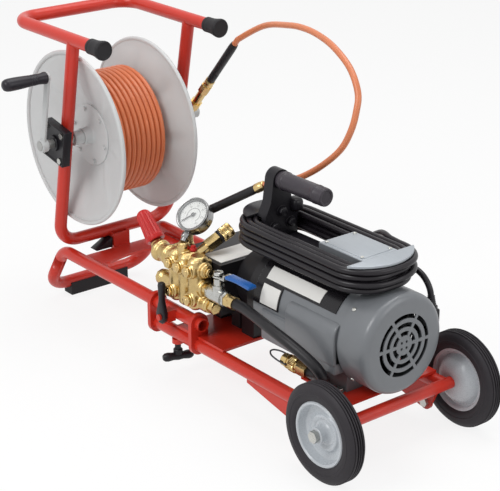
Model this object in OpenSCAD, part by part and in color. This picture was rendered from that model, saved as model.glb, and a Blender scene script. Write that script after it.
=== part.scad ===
// Electric drain jetter: motor and plunger pump on a two-wheel tube cart with a hose reel.
// Millimetres. The origin is on the floor, under the middle of the rubber foot.
// +X runs along the cart to the wheels, +Y to the swivel side, +Z up.

/* [Cart frame] */
// Outside diameter of the frame tubes
tube_od = 25.4; // [22:0.1:28]
// Wall of the frame tubes
tube_wall = 2; // [1.5:0.1:3]
// Middle plane to the axis of a side tube
side_y = 119; // [114:1:124]
// Rear tubes above the front tubes, axis to axis
tube_rise = 43; // [38:1:48]
// Radius of the tube bends
bend_r = 45; // [38:1:50]
// Foot to wheel axle, along the cart
axle_x = 930; // [915:1:960]
// Axle back to the front eye brackets
eye_front = 404; // [395:1:415]
// Axle back to the rear eye brackets
eye_rear = 534; // [520:1:550]
// Thickness of an eye bracket
eye_t = 9; // [6:1:12]
// Metal left around an eye
eye_rim = 7; // [5:0.5:9]
// Backward lean of the foot legs
leg_lean = 33; // [28:1:38]
// Thickness of the base and saddle plates
plate_t = 5; // [3:0.5:7]
// Drop of the axle gussets below the axle
gusset_drop = 50; // [42:1:56]
// Rubber foot below its tube
foot_h = 15; // [10:1:20]

/* [Wheels] */
// Diameter of the tyres
wheel_d = 178; // [170:1:190]
// Diameter of the steel wheel under the tyre
rim_d = 116; // [106:1:126]
// Width of a tyre
tyre_w = 34; // [28:1:36]
// Middle plane to the inner face of a wheel boss
wheel_y = 135; // [133:1:140]
// Width of a wheel boss
boss_w = 45; // [40:1:50]
// Diameter of the axle pins
axle_d = 16; // [14:0.5:18]

/* [Reel stand and handle] */
// Foot to the bottom tube of the stand, along the cart
stand_x = 79; // [70:1:90]
// Height of the bottom tube of the stand
stand_z = 156; // [152:1:162]
// Middle plane to an upright
stand_y = 136.5; // [134:0.5:142]
// Forward lean of the uprights
lean = 11; // [6:0.5:14]
// Height of the handle
handle_z = 598; // [585:1:620]
// Handle cross bar behind the foot
handle_back = 50; // [42:1:60]
// Handle tips ahead of the foot
handle_tip = 264; // [240:1:280]
// Length of a handle cap
cap_l = 38; // [30:1:50]
// Thickness of a handle cap
cap_t = 2.5; // [2:0.5:4]

/* [Hose reel] */
// Height of the reel axis
reel_z = 388; // [380:1:396]
// Diameter of the flanges
flange_d = 353; // [330:1:360]
// Sheet of the flanges
flange_t = 2.5; // [2:0.1:3.5]
// Rim of the near flange, from the middle plane
flange_near = 117; // [112:0.5:117]
// Rim of the far flange, from the middle plane
flange_far = 51; // [46:1:60]
// Depth of the dish in a flange
dish = 42; // [34:1:44]
// Diameter of the flat middle of a flange
flat_d = 124; // [116:1:132]
// Diameter of the drum
drum_d = 120; // [100:1:122]
// Diameter of the reel shaft
shaft_d = 19; // [16:0.5:22]
// Diameter of the jetting hose
hose_od = 11; // [10:0.1:11]
// Outside diameter of the wound hose
wind_d = 250; // [230:1:256]
// Loops in the outer layer
wind_n = 9; // [6:1:9]
// Loop to loop along the drum
wind_pitch = 11.6; // [11.5:0.05:11.8]
// Crank arm, shaft to grip
crank_r = 146; // [120:1:155]
// Middle plane to the crank arm
crank_y = 187; // [184:1:196]
// Length of the crank grip
grip_l = 94; // [80:1:110]
// Diameter of the crank grip
grip_d = 25; // [22:1:30]

/* [Swivel and whip hose] */
// Forward lean of the swivel outlet
swivel_tilt = 41; // [36:1:46]
// Swivel body, across
swivel_d = 28; // [25:1:32]
// Swivel axis to the end of the brass
swivel_l = 108; // [95:1:115]
// Length of a bend sleeve
sleeve_l = 125; // [110:1:135]
// Diameter of a bend sleeve
sleeve_d = 17; // [15:0.5:19]
// Diameter of the whip hose
whip_od = 12; // [10:0.5:13]

/* [Motor] */
// Diameter of the fan cover
motor_d = 183; // [176:1:183]
// Shell inside the fan cover line
shell_step = 3.5; // [2:0.5:5]
// Base plate to the motor axis
motor_h = 100; // [98:1:104]
// Drive face to fan face
motor_l = 316; // [312:1:325]
// Fan face ahead of the axle
fan_over = 16; // [10:1:22]
// Length of the fan cover
cover_l = 66; // [58:1:70]
// Length of the end bell
bell_l = 20; // [16:1:24]
// Wall of the motor castings
shell_t = 5; // [3:0.5:6]
// Diameter of the motor shaft
rotor_d = 24; // [20:1:26]
// Height of the switch box lid above the motor axis
box_h = 142; // [140:1:146]
// Half width of the switch box
box_y = 41; // [36:1:41]

/* [Pump] */
// Motor drive face back to the crankcase
adapter_l = 70; // [66:1:80]
// Crankcase along the shaft
case_w = 116; // [112:1:124]
// Shaft to the manifold joint
case_y = 92; // [90:1:96]
// Width of the manifold
man_w = 92; // [88:1:96]
// Height of the manifold
man_h = 102; // [96:1:106]
// Depth of the manifold
man_d = 42; // [38:1:44]
// Plunger diameter
plunger_d = 18; // [16:1:20]
// Plunger to plunger
plunger_p = 29; // [27:1:30]
// Diameter of the pressure gauge
gauge_d = 68; // [62:1:70]
// Backward tilt of the gauge
gauge_tilt = 44; // [40:1:48]
// Turn of the gauge towards the wheels
gauge_turn = 13; // [8:1:18]
// Length of the unloader knob
knob_l = 64; // [56:1:68]
// Diameter of the unloader knob
knob_d = 36; // [32:1:38]

/* [Water inlet] */
// Length of the ball valve
valve_l = 52; // [48:1:58]
// Diameter of the ball valve
valve_d = 30; // [28:1:34]
// Length of the valve lever
lever_l = 98; // [90:1:110]
// Diameter of the inlet hose
inlet_od = 20; // [18:1:21]

/* [Cord and carry handle] */
// Diameter of the power cord
cord_od = 11; // [10:0.1:11]
// Loop to loop and layer to layer
cord_pitch = 11.6; // [11.5:0.05:12]
// Loops in one layer
cord_n = 3; // [2:1:3]
// Diameter of the carry grip
carry_d = 34; // [30:1:36]
// Length of the carry grip
carry_l = 122; // [100:1:130]
// Carry grip above the motor axis
carry_h = 206; // [200:1:212]

/* [Hidden] */
$fn = 48;
// Running fit, seat between fixed curved faces, gap between moving faces
fit = 0.05;
seat = 0.2;
skin = 0.4;
// Frame
tube_r = tube_od / 2;
front_z = wheel_d / 2;
rear_z = front_z + tube_rise;
foot_z = foot_h + tube_r;
eye1_x = axle_x - eye_rear;
eye2_x = axle_x - eye_front;
eye_r = tube_r + eye_rim;
clamp_x = (eye1_x + eye2_x) / 2;
axle_r = axle_d / 2;
axle_tube_r = axle_r + 3;
base_top = front_z + tube_r + plate_t;
saddle_z = rear_z - tube_r / 2;
// Reel
stand_l = (handle_z - stand_z) / cos(lean);
axis_l = (reel_z - stand_z) / cos(lean);
reel_x = stand_x + (reel_z - stand_z) * tan(lean);
shaft_r = shaft_d / 2;
flange_r = flange_d / 2;
flat_r = flat_d / 2;
hub_near = -flange_near + dish;
hub_far = flange_far - dish;
bearing_t = 16;
bearing_w = 74;
bearing_y = stand_y + tube_r + bearing_t;
bearing_bolt = 27;
hub_t = 4;
hub_boss = 24;
wind_r = wind_d / 2 - hose_od / 2;
drum_mid = (hub_near + hub_far) / 2;
arm_t = 6;
crank_x = reel_x + crank_r * sin(lean);
crank_z = reel_z + crank_r * cos(lean);
swivel_in = stand_y + tube_r + 2;
swivel_y = swivel_in + swivel_d / 2;
// Motor
motor_z = base_top + motor_h;
cover_r = motor_d / 2;
shell_r = cover_r - shell_step;
fan_x = axle_x + fan_over;
drive_x = fan_x - motor_l;
shell_x = drive_x + bell_l;
cover_x = fan_x - cover_l;
rotor_r = rotor_d / 2;
box_l = 111;
box_x = cover_x + 2 - box_l;
lid_z = motor_z + box_h;
lip_t = 5;
// Pump
case_x1 = drive_x - adapter_l;
case_x0 = case_x1 - case_w;
case_mid = (case_x0 + case_x1) / 2;
case_far = 48;
case_z0 = motor_z - 57;
case_z1 = motor_z + 43;
case_t = 8;
plunger_r = plunger_d / 2;
man_mid = case_mid - 7;
plunger_x = [for (i = [-1:1]) man_mid + i * plunger_p];
throw_r = rotor_r + 10;
crank_off = 6;
man_x0 = man_mid - man_w / 2;
man_x1 = man_mid + man_w / 2;
man_y = -case_y - man_d / 2;
man_z0 = motor_z - 46;
man_z1 = man_z0 + man_h;
rib_t = 4;
cap_r = 13;
cap_h = 9;
unload_r = 19;
unload_l = 45;
unload_z = motor_z + 30;
knob_r = knob_d / 2;
knob_s = 22;
knob_pin = 5;
out_x = man_x0 - 29;
out_y = man_y + 53;
out_z = motor_z + 83;
out_r = 9;
out_az = 25;
out_el = 31;
out_l = 45;
gauge_x = man_mid - 16;
gauge_y = man_y + 18;
gauge_z = man_z1 + 66;
gauge_r = gauge_d / 2;
gauge_t = 28;
stem_w = 6;
stem_g = gauge_r + 18;
stem_in = gauge_t / 2 * cos(gauge_tilt) - stem_g * sin(gauge_tilt);
stem_p = [gauge_x - stem_in * sin(gauge_turn), gauge_y + stem_in * cos(gauge_turn), 0];
stem_z = gauge_z - gauge_t / 2 * sin(gauge_tilt) - stem_g * cos(gauge_tilt);
// Inlet
inlet_z = motor_z - 2;
collar_l = 14;
collar_r = 13;
valve_x = man_x1 + collar_l;
stem_x = valve_x + valve_l / 2;
stem_r = 5;
ball_r = 11;
stem_top = inlet_z + valve_d / 2 + 22;
lever_t = 4;
nut_l = 24;
nut_r = 12;
inlet_x = valve_x + valve_l + nut_l;
tail_r = 15;
tail_z = base_top + tail_r + 0.3;
tail_x = drive_x + 164;
tail_y = -78;
// Carry handle and cord
bracket_t = 24;
bracket_x = drive_x - 33;
carry_z = motor_z + carry_h;
cord_r = cord_od / 2;
coil_x0 = bracket_x - cord_r - 1.5;
coil_x1 = box_x + box_l + cord_r + 1.5;
coil_mid = (coil_x0 + coil_x1) / 2;
coil_a = (coil_x1 - coil_x0) / 2;
coil_b = box_y + cord_r + 0.5;
coil_rc = 36;
coil_z = motor_z + cover_r + cord_r + 1.3;
coil_out = cord_n * cord_pitch;
gland_x = fan_x - 26;
gland_y = 86;
gland_r = 9;
gland_z = motor_z + 45.3;
entry_w = 12;
plug_r = 17;
plug_l = 55;

// Basic shapes
module xcyl(r, x0, x1) { translate([x0, 0, 0]) rotate([0, 90, 0]) cylinder(h = x1 - x0, r = r); }
module ycyl(r, y0, y1) { translate([0, y1, 0]) rotate([90, 0, 0]) cylinder(h = y1 - y0, r = r); }
module zcyl(r, z0, z1) { translate([0, 0, z0]) cylinder(h = z1 - z0, r = r); }
module box(a, b) { translate(a) cube(b - a); }
module both() { children(); mirror([0, 1, 0]) children(); }
module at_motor() { translate([0, 0, motor_z]) children(); }
module at_reel() { translate([reel_x, 0, reel_z]) children(); }
module at_stand() { translate([stand_x, 0, stand_z]) rotate([0, lean, 0]) children(); }
module at_axle() { translate([axle_x, 0, front_z]) children(); }

// U tube: cross tube on Y through the origin, bends, then legs up to z = top
module u_tube(half, top, r) {
  ycyl(r, bend_r - half, half - bend_r);
  both() {
    translate([0, half, 0]) zcyl(r, bend_r, top);
    translate([0, half - bend_r, bend_r]) rotate([90, 0, 90]) rotate([0, 0, -90])
      rotate_extrude(angle = 90) translate([bend_r, 0]) circle(r);
  }
}

// Swept tubes
function unit(v) = v / norm(v);
function lerp(a, b, t) = a + (b - a) * t;
function tangent(p, i) = unit(p[min(i + 1, len(p) - 1)] - p[max(i - 1, 0)]);
function ring(p, i, r, n, up) = let (t = tangent(p, i), s = unit(cross(t, up)), w = cross(s, t))
  [for (k = [0:n - 1]) p[i] + r * (cos(360 * k / n) * s + sin(360 * k / n) * w)];
// A tube is one closed polyhedron of triangles along the points p
module sweep(p, r, n, up = [0, 0, 1]) {
  m = len(p);
  pts = [for (i = [0:m - 1]) each ring(p, i, r, n, up)];
  sides = [for (i = [0:m - 2], k = [0:n - 1]) let (a = i * n + k, b = i * n + (k + 1) % n)
    each [[a, b, a + n], [b, b + n, a + n]]];
  ends = [for (k = [1:n - 2]) each
    [[0, k + 1, k], [(m - 1) * n, (m - 1) * n + k, (m - 1) * n + k + 1]]];
  polyhedron(points = pts, faces = concat(sides, ends));
}
// Smooth points through the chosen route points, with the first and last stretches straight
function spline(a, b, c, d, t) = 0.5 * (2 * b + (c - a) * t + (2 * a - 5 * b + 4 * c - d) * t * t
  + (3 * b - a - 3 * c + d) * t * t * t);
function smooth(p, k) = let (n = len(p) - 1) concat([p[0]], [for (i = [1:n - 2], j = [0:k - 1])
  spline(p[i - 1], p[i], p[i + 1], p[i + 2], j / k)], [p[n - 1], p[n]]);
// Least gap between a tube and itself, past its own next rings
function self_gap(p, d, skip) = min([for (i = [0:len(p) - 1 - skip], j = [i + skip:len(p) - 1])
  norm(p[i] - p[j])]) - d;

// Cart frame
module front_tubes(r, x0, x1) { both() translate([0, side_y, front_z]) xcyl(r, x0, x1); }
module eye_plate(x) {
  translate([x - eye_t / 2, side_y, 0]) difference() {
    union() {
      for (z = [front_z, rear_z]) translate([0, 0, z]) xcyl(eye_r, 0, eye_t);
      box([0, -eye_r, front_z], [eye_t, eye_r, rear_z]);
    }
    translate([0, 0, rear_z]) xcyl(tube_r + seat, -1, eye_t + 1);
  }
}
gusset_l = 256;
gusset_t = 6;
gusset_x = axle_x - 42;
gusset_r = 14;
gusset_z = front_z - gusset_drop;
module gusset() {
  translate([0, side_y + gusset_t / 2, 0]) rotate([90, 0, 0]) linear_extrude(gusset_t) difference() {
    union() {
      polygon([[axle_x - gusset_l, front_z], [axle_x - 6, front_z], [gusset_x + gusset_r, gusset_z],
        [gusset_x, gusset_z - gusset_r], [axle_x - gusset_l, front_z - tube_r - 8]]);
      translate([gusset_x, gusset_z]) circle(gusset_r);
    }
    translate([gusset_x, gusset_z]) circle(gusset_bolt + seat);
  }
}
gusset_bolt = 5;
// Boss of the clamp screw under the near front tube
screw_r = 6;
boss_z = front_z - tube_r - 8;
module front_frame() {
  color("firebrick") difference() {
    union() {
      front_tubes(tube_r, eye1_x - eye_t, axle_x);
      at_axle() ycyl(axle_tube_r, 1 - wheel_y, wheel_y - 1);
      both() { eye_plate(eye1_x); eye_plate(eye2_x); gusset(); }
      translate([clamp_x, -side_y, 0]) zcyl(screw_r + 5, boss_z, front_z - tube_r + tube_wall / 2);
    }
    translate([clamp_x, -side_y, 0]) zcyl(screw_r + fit, 0, front_z);
    front_tubes(tube_r - tube_wall, eye1_x - eye_t - 1, axle_x - axle_tube_r);
    at_axle() ycyl(axle_r + fit, -wheel_y, wheel_y);
  }
}
module base_plate(x0, x1) {
  box([x0, -side_y - 4, base_top - plate_t], [x1, side_y + 4, base_top]);
}
// The motor plate has a tongue, on which the inlet coupling lies
pump_over = 46;
tongue_x = tail_x - 20;
tongue_y = 80;
foot_x = cover_x - 74;
module base_plates() {
  color("firebrick") {
    difference() {
      base_plate(case_x0 + 20, case_x1 + pump_over);
      both() box([eye2_x - eye_t / 2 - seat, side_y - eye_r - seat, 0],
        [eye2_x + eye_t / 2 + seat, side_y + eye_r, rear_z]);
    }
    difference() {
      base_plate(tongue_x, cover_x + 25);
      both() box([tongue_x - 1, tongue_y, 0], [foot_x, wheel_y, base_top + 1]);
    }
  }
}
leg_l = (rear_z - foot_z) / cos(leg_lean);
leg_x = (rear_z - foot_z) * tan(leg_lean);
leg_bend = 90 - leg_lean;
leg_t = bend_r * tan(leg_bend / 2);
leg_top = round(100 * (leg_l - leg_t)) / 100;
rear_l = round(eye2_x + 16 - leg_x - leg_t);
// Straight rear tubes, in the frame of the leaning legs so that the bends meet them squarely
module rear_straight(r, z0, z1) {
  both() translate([bend_r, side_y, leg_top]) rotate([0, leg_bend, 0]) translate([-bend_r, 0, 0])
    zcyl(r, z0, z1);
}
module rear_frame() {
  color("firebrick") translate([0, 0, foot_z]) rotate([0, leg_lean, 0]) difference() {
    union() {
      u_tube(side_y, leg_top, tube_r);
      both() translate([bend_r, side_y, leg_top]) rotate([90, 0, 0]) rotate([0, 0, 180 - leg_bend])
        rotate_extrude(angle = leg_bend) translate([bend_r, 0]) circle(tube_r);
      rear_straight(tube_r, 0, rear_l);
    }
    rear_straight(tube_r - tube_wall, 1, rear_l + 1);
  }
  color("firebrick") translate([clamp_x, 0, rear_z]) {
    box([-lug_w, -lever_y + skin, -lug_w], [lug_w, -side_y - tube_r + lug_sink, lug_w]);
    ycyl(clamp_pin, -lever_y - lever_w - 4, -lever_y + skin);
  }
}
// Lug and pin of the clamp lever on the near rear tube
clamp_pin = 6;
lever_w = 11;
lever_y = case_y + man_d + rib_t + cap_h + 1.5;
lug_w = 11;
lug_sink = 1.2;
foot_y = side_y - bend_r - 2;
module foot_rubber() {
  color("black") difference() {
    box([-tube_r - 2, -foot_y, 0], [tube_r + 2, foot_y, foot_z]);
    translate([0, 0, foot_z]) ycyl(tube_r + seat, -foot_y - 1, foot_y + 1);
  }
}
saddle_x0 = stand_x + 26;
saddle_x1 = stand_x + 116;
post_w = 40;
module saddle_plate() {
  inner = side_y - tube_r * cos(30) - seat;
  cut_r = 190;
  color("firebrick") {
    difference() {
      union() {
        box([saddle_x0, -inner, saddle_z - plate_t], [saddle_x1, inner, saddle_z]);
        box([stand_x - 12, -post_w / 2, saddle_z - plate_t], [saddle_x0 + 1, post_w / 2, saddle_z]);
      }
      translate([saddle_x1 + cut_r - 42, 0, 0]) zcyl(cut_r, 0, rear_z);
      both() translate([saddle_x0 + 62, inner - 30, 0]) zcyl(6, 0, rear_z);
      both() translate([0, side_y, rear_z]) xcyl(tube_r + seat, 0, axle_x);
    }
    difference() {
      box([stand_x - 10, -post_w / 2, saddle_z], [stand_x + 24, post_w / 2, stand_z - 2]);
      box([stand_x - 11, -post_w / 2 + 4, saddle_z], [stand_x + 20, post_w / 2 - 4, stand_z]);
      at_stand() ycyl(tube_r + seat, -post_w, post_w);
    }
  }
}
module handle_u(r, tip) {
  translate([-handle_back, 0, handle_z]) rotate([0, 90, 0]) u_tube(stand_y, tip, r);
}
module reel_stand() {
  color("firebrick") difference() {
    at_stand() difference() {
      u_tube(stand_y, stand_l, tube_r);
      both() translate([0, stand_y, 0]) zcyl(tube_r - tube_wall, bend_r, stand_l + 1);
      translate([0, 0, axis_l]) ycyl(shaft_r + 1, -2 * stand_y, 2 * stand_y);
    }
    handle_u(tube_r + seat, handle_tip + handle_back);
  }
}
module handle_bar() {
  color("firebrick") difference() {
    handle_u(tube_r, handle_tip + handle_back);
    both() translate([bend_r, stand_y, handle_z]) xcyl(tube_r - tube_wall, 0, axle_x);
  }
}
cap_flare = 3.5;
module end_caps() {
  color("black") both() translate([0, stand_y, handle_z]) difference() {
    union() {
      xcyl(tube_r + cap_t, handle_tip - cap_l, handle_tip);
      translate([handle_tip - cap_l / 2, 0, 0]) rotate([0, 90, 0])
        cylinder(h = cap_l / 2, r1 = tube_r + cap_t, r2 = tube_r + cap_t + cap_flare);
      xcyl(tube_r + cap_t + cap_flare, handle_tip, handle_tip + 6);
    }
    xcyl(tube_r + seat, handle_tip - cap_l - 1, handle_tip);
  }
}
// The near block is outside its upright, the far block inside, where the shaft goes on to the swivel
module bearing_block(y0, y1) {
  difference() {
    translate([0, 0, axis_l]) box([-bearing_w / 2, y0, -bearing_w / 2], [bearing_w / 2, y1, bearing_w / 2]);
    both() translate([0, stand_y, 0]) zcyl(tube_r + seat, 0, stand_l);
    translate([0, 0, axis_l]) ycyl(shaft_r + fit, y0 - 1, y1 + 1);
  }
}
bearing_in = stand_y - tube_r - bearing_t;
module bearing_blocks() {
  color("black") at_stand() {
    bearing_block(-bearing_y, -stand_y - 3);
    bearing_block(bearing_in, stand_y - 3);
  }
}

// Fasteners of the fixed frame, each its own solid
module hex(r, h) { cylinder(h = h, r = r, $fn = 6); }
module bolts() {
  color("silver") {
    at_stand() for (y = [-bearing_y, bearing_in], u = [-1, 1], w = [-1, 1])
      translate([u * bearing_bolt, y, axis_l + w * bearing_bolt]) rotate([90, 0, 0]) hex(6.5, 5);
    both() translate([gusset_x, side_y, gusset_z]) {
      ycyl(gusset_bolt, -gusset_t / 2 - 6, gusset_t / 2 + 6);
      for (y = [-gusset_t / 2 - 6, gusset_t / 2]) translate([0, y, 0]) rotate([-90, 0, 0]) hex(9, 6);
    }
    for (u = bracket_bolts) translate([bracket_x + bracket_t, u[0], motor_z + u[1]])
      rotate([0, 90, 0]) hex(6.5, 5);
  }
}
bracket_bolts = [[0, 147], [21, 122], [-17, 120]];

// Clamps that lock the rear tubes in the eyes
module clamp_lever() {
  color("black") translate([clamp_x, -lever_y, rear_z]) {
    difference() {
      union() {
        ycyl(13, -lever_w, 0);
        box([-7, -lever_w, 0], [9, -1, 62]);
        translate([1, 0, 62]) ycyl(8, -lever_w, -1);
      }
      ycyl(clamp_pin + fit, -lever_w - 1, 1);
    }
  }
}
module clamp_knob() {
  color("black") translate([clamp_x, -side_y, 0]) {
    zcyl(screw_r, boss_z - 22, front_z - tube_r);
    translate([0, 0, boss_z - 28]) rotate([0, 0, 72]) {
      xcyl(8, -22, 22);
      for (s = [-22, 22]) translate([s, 0, 0]) sphere(8);
    }
  }
}

// Wheels: each turns on its own axle pin
pin_head = 11;
pin_out = wheel_y + boss_w + 1;
module axle_pins() {
  color("silver") at_axle() both() {
    ycyl(axle_r, wheel_y - 70, pin_out);
    translate([0, pin_out, 0]) rotate([-90, 0, 0]) hex(pin_head, 8);
  }
}
tyre_y = wheel_y + 9;
module tyre() {
  edge = 8;
  rotate([-90, 0, 0]) rotate_extrude() polygon([[rim_d / 2 + seat, tyre_y + 4],
    [rim_d / 2 + seat, tyre_y + tyre_w - 4], [rim_d / 2 + 6, tyre_y + tyre_w],
    [wheel_d / 2 - edge, tyre_y + tyre_w], [wheel_d / 2, tyre_y + tyre_w - edge],
    [wheel_d / 2, tyre_y + edge], [wheel_d / 2 - edge, tyre_y], [rim_d / 2 + 6, tyre_y]]);
}
module wheel() {
  mid = tyre_y + tyre_w / 2;
  rotate([-90, 0, 0]) rotate_extrude() polygon([[axle_r + fit, wheel_y], [axle_r + 9, wheel_y],
    [axle_r + 9, mid - 6], [rim_d / 2 - 10, mid + 2], [rim_d / 2 - 8, tyre_y + 4],
    [rim_d / 2, tyre_y + 4], [rim_d / 2, tyre_y + tyre_w - 4], [rim_d / 2 - 5, tyre_y + tyre_w - 4],
    [rim_d / 2 - 8, mid + 6], [axle_r + 12, mid - 2], [axle_r + 9, wheel_y + boss_w],
    [axle_r + fit, wheel_y + boss_w]]);
}
module tyre_far() { color("dimgray") at_axle() tyre(); }
module tyre_near() { color("dimgray") at_axle() mirror([0, 1, 0]) tyre(); }
module wheel_far() { color("lightgray") at_axle() wheel(); }
module wheel_near() { color("lightgray") at_axle() mirror([0, 1, 0]) wheel(); }

// Reel: dished flanges with rolled rims and pressed ribs, seen from the drum side as +Y out
rim_r = 5;
rib_n = 8;
module flange(out, hub) {
  s = out > hub ? 1 : -1;
  run = flange_r - rim_r - flat_r;
  rise = abs(out - hub);
  slope = atan(rise / run);
  rotate([-90, 0, 0]) rotate_extrude() {
    polygon([[shaft_r + seat, hub], [flat_r, hub], [flange_r - rim_r, out],
      [flange_r - rim_r, out + s * flange_t], [flat_r, hub + s * flange_t],
      [shaft_r + seat, hub + s * flange_t]]);
    translate([flange_r - rim_r, out]) circle(rim_r - 1);
  }
  for (k = [0:rib_n - 1]) rotate([0, 360 * (k + 0.5) / rib_n, 0]) translate([flat_r, hub, 0])
    rotate([0, 0, s * slope]) translate([0, s * flange_t, 0]) xcyl(2, 4, run / cos(slope) - 10);
}
module flange_near_disc() { color("gainsboro") at_reel() flange(-flange_near, hub_near); }
module flange_far_disc() { color("gainsboro") at_reel() flange(flange_far, hub_far); }
module drum_core() {
  color("gray") at_reel() difference() {
    ycyl(drum_d / 2, hub_near, hub_far);
    ycyl(drum_d / 2 - 3, hub_near + 3, hub_far - 3);
    ycyl(shaft_r + seat, hub_near - 1, hub_far + 1);
  }
}
// Inner hose layers as one plain core between the flange cones
cone = dish / (flange_r - rim_r - flat_r);
wind_steps = 24;
core_r = wind_r * cos(180 / wind_steps) - hose_od / 2 - 0.5;
module hose_core() {
  step = max(core_r - flat_r, 0) * cone;
  color("darkorange") at_reel() rotate([-90, 0, 0]) rotate_extrude() polygon([
    [drum_d / 2 + seat, hub_near + 0.6], [flat_r, hub_near + 0.6],
    [core_r, hub_near + 0.6 - step], [core_r, hub_far - 0.6 + step],
    [flat_r, hub_far - 0.6], [drum_d / 2 + seat, hub_far - 0.6]]);
}
// Outer layer of the wound hose: a helix with straight ends
wind_y0 = drum_mid - wind_n * wind_pitch / 2;
function wind_at(t) = [wind_r * sin(360 * t), wind_y0 + wind_pitch * t, -wind_r * cos(360 * t)];
wind_path = let (h = [for (i = [0:wind_steps * wind_n]) wind_at(i / wind_steps)], n = len(h) - 1)
  concat([h[0] - hose_od * [1, 0, 0]], h, [h[n] + hose_od * [1, 0, 0]]);
wind_gap = self_gap(wind_path, hose_od, 20);
module jet_hose() {
  echo(wind_gap = wind_gap);
  color("orangered") at_reel() sweep(wind_path, hose_od / 2, 6, [0, 1, 0]);
}
module reel_shaft() { color("silver") at_reel() ycyl(shaft_r, -crank_y - arm_t - 6, swivel_y + 6); }
hub_r = flat_r - 4;
module hub_plate() {
  difference() {
    union() {
      ycyl(hub_r, 0, hub_t);
      ycyl(shaft_r + 7, 0, hub_boss);
      for (k = [0:5]) rotate([0, 60 * k + 15, 0]) translate([hub_r - 13, hub_t, 0])
        rotate([-90, 0, 0]) hex(7, 5);
    }
    ycyl(shaft_r + fit, -1, hub_boss + 1);
  }
}
module hub_plates() {
  color("whitesmoke") at_reel() {
    translate([0, hub_far + flange_t, 0]) hub_plate();
    translate([0, hub_near - flange_t, 0]) mirror([0, 1, 0]) hub_plate();
  }
}
module at_crank() { at_reel() rotate([0, lean, 0]) children(); }
grip_pin = 5;
module crank_arm() {
  color("silver") at_crank() difference() {
    union() {
      ycyl(16, -crank_y - arm_t - 4, -crank_y + 4);
      box([-11, -crank_y - arm_t, 0], [11, -crank_y, crank_r]);
      translate([0, 0, crank_r]) {
        ycyl(11, -crank_y - arm_t, -crank_y);
        ycyl(grip_pin, -crank_y - arm_t - grip_l - 3, -crank_y - 1);
        ycyl(8, -crank_y - arm_t - grip_l - 5, -crank_y - arm_t - grip_l - 2);
      }
    }
    ycyl(shaft_r + fit, -crank_y - arm_t - 5, -crank_y + 5);
  }
}
module crank_grip() {
  y0 = crank_y + arm_t + skin;
  y1 = y0 + grip_l - 2.5;
  color("black") at_crank() translate([0, 0, crank_r]) rotate([90, 0, 0]) rotate_extrude()
    polygon([[grip_pin + fit, y0], [grip_d / 2 - 1.5, y0], [grip_d / 2 - 3, y0 + 8],
      [grip_d / 2 - 1, y0 + 30], [grip_d / 2, y1 - 14], [grip_d / 2 - 2, y1], [grip_pin + fit, y1]]);
}

// Swivel on the far end of the shaft and the whip hose
module at_swivel() { translate([reel_x, swivel_y, reel_z]) rotate([0, swivel_tilt, 0]) children(); }
module swivel_body() {
  color("darkgray") at_reel() difference() {
    ycyl(swivel_d / 2, swivel_in, swivel_y + swivel_d / 2 + 2);
    ycyl(shaft_r + fit, 0, swivel_y + 6.5);
  }
}
elbow_r = 9;
module swivel_elbow() {
  color("goldenrod") difference() {
    at_swivel() {
      zcyl(elbow_r, 8, swivel_l);
      translate([0, 0, swivel_d / 2 + 8]) hex(elbow_r + 4, 16);
      translate([0, 0, swivel_l - 34]) hex(elbow_r + 3, 22);
    }
    at_reel() ycyl(swivel_d / 2 + seat, 0, swivel_y + swivel_d);
  }
}
function along(p, az, el, s) = p + s * [cos(el) * cos(az), cos(el) * sin(az), sin(el)];
out_p = [out_x, out_y, out_z];
out_sleeve = along(out_p, out_az, out_el, out_l);
out_end = along(out_p, out_az, out_el, out_l + sleeve_l);
swivel_p = [reel_x, swivel_y, reel_z];
swivel_end = along(swivel_p, 0, 90 - swivel_tilt, swivel_l + sleeve_l);
module whip_sleeves() {
  color("black") {
    at_swivel() zcyl(sleeve_d / 2, swivel_l, swivel_l + sleeve_l);
    translate(out_sleeve) rotate([0, 90 - out_el, out_az]) zcyl(sleeve_d / 2, 0, sleeve_l);
  }
}
// Route of the whip hose between the two sleeves
whip_route = concat([swivel_end, along(swivel_p, 0, 90 - swivel_tilt, swivel_l + sleeve_l + 14)],
  [[365, 168, 617], [455, 152, 638], [510, 142, 645], [565, 130, 645], [625, 115, 637],
   [685, 100, 614], [720, 88, 580], [730, 76, 550], [728, 66, 516], [707, 62, 478],
   [664, 57, 438], [622, 46, 408], [588, 30, 392]],
  [along(out_p, out_az, out_el, out_l + sleeve_l + 14), out_end]);
module whip_hose() { color("darkorange") sweep(smooth(whip_route, 2), whip_od / 2, 8, [0.3, 1, 0.2]); }

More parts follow.
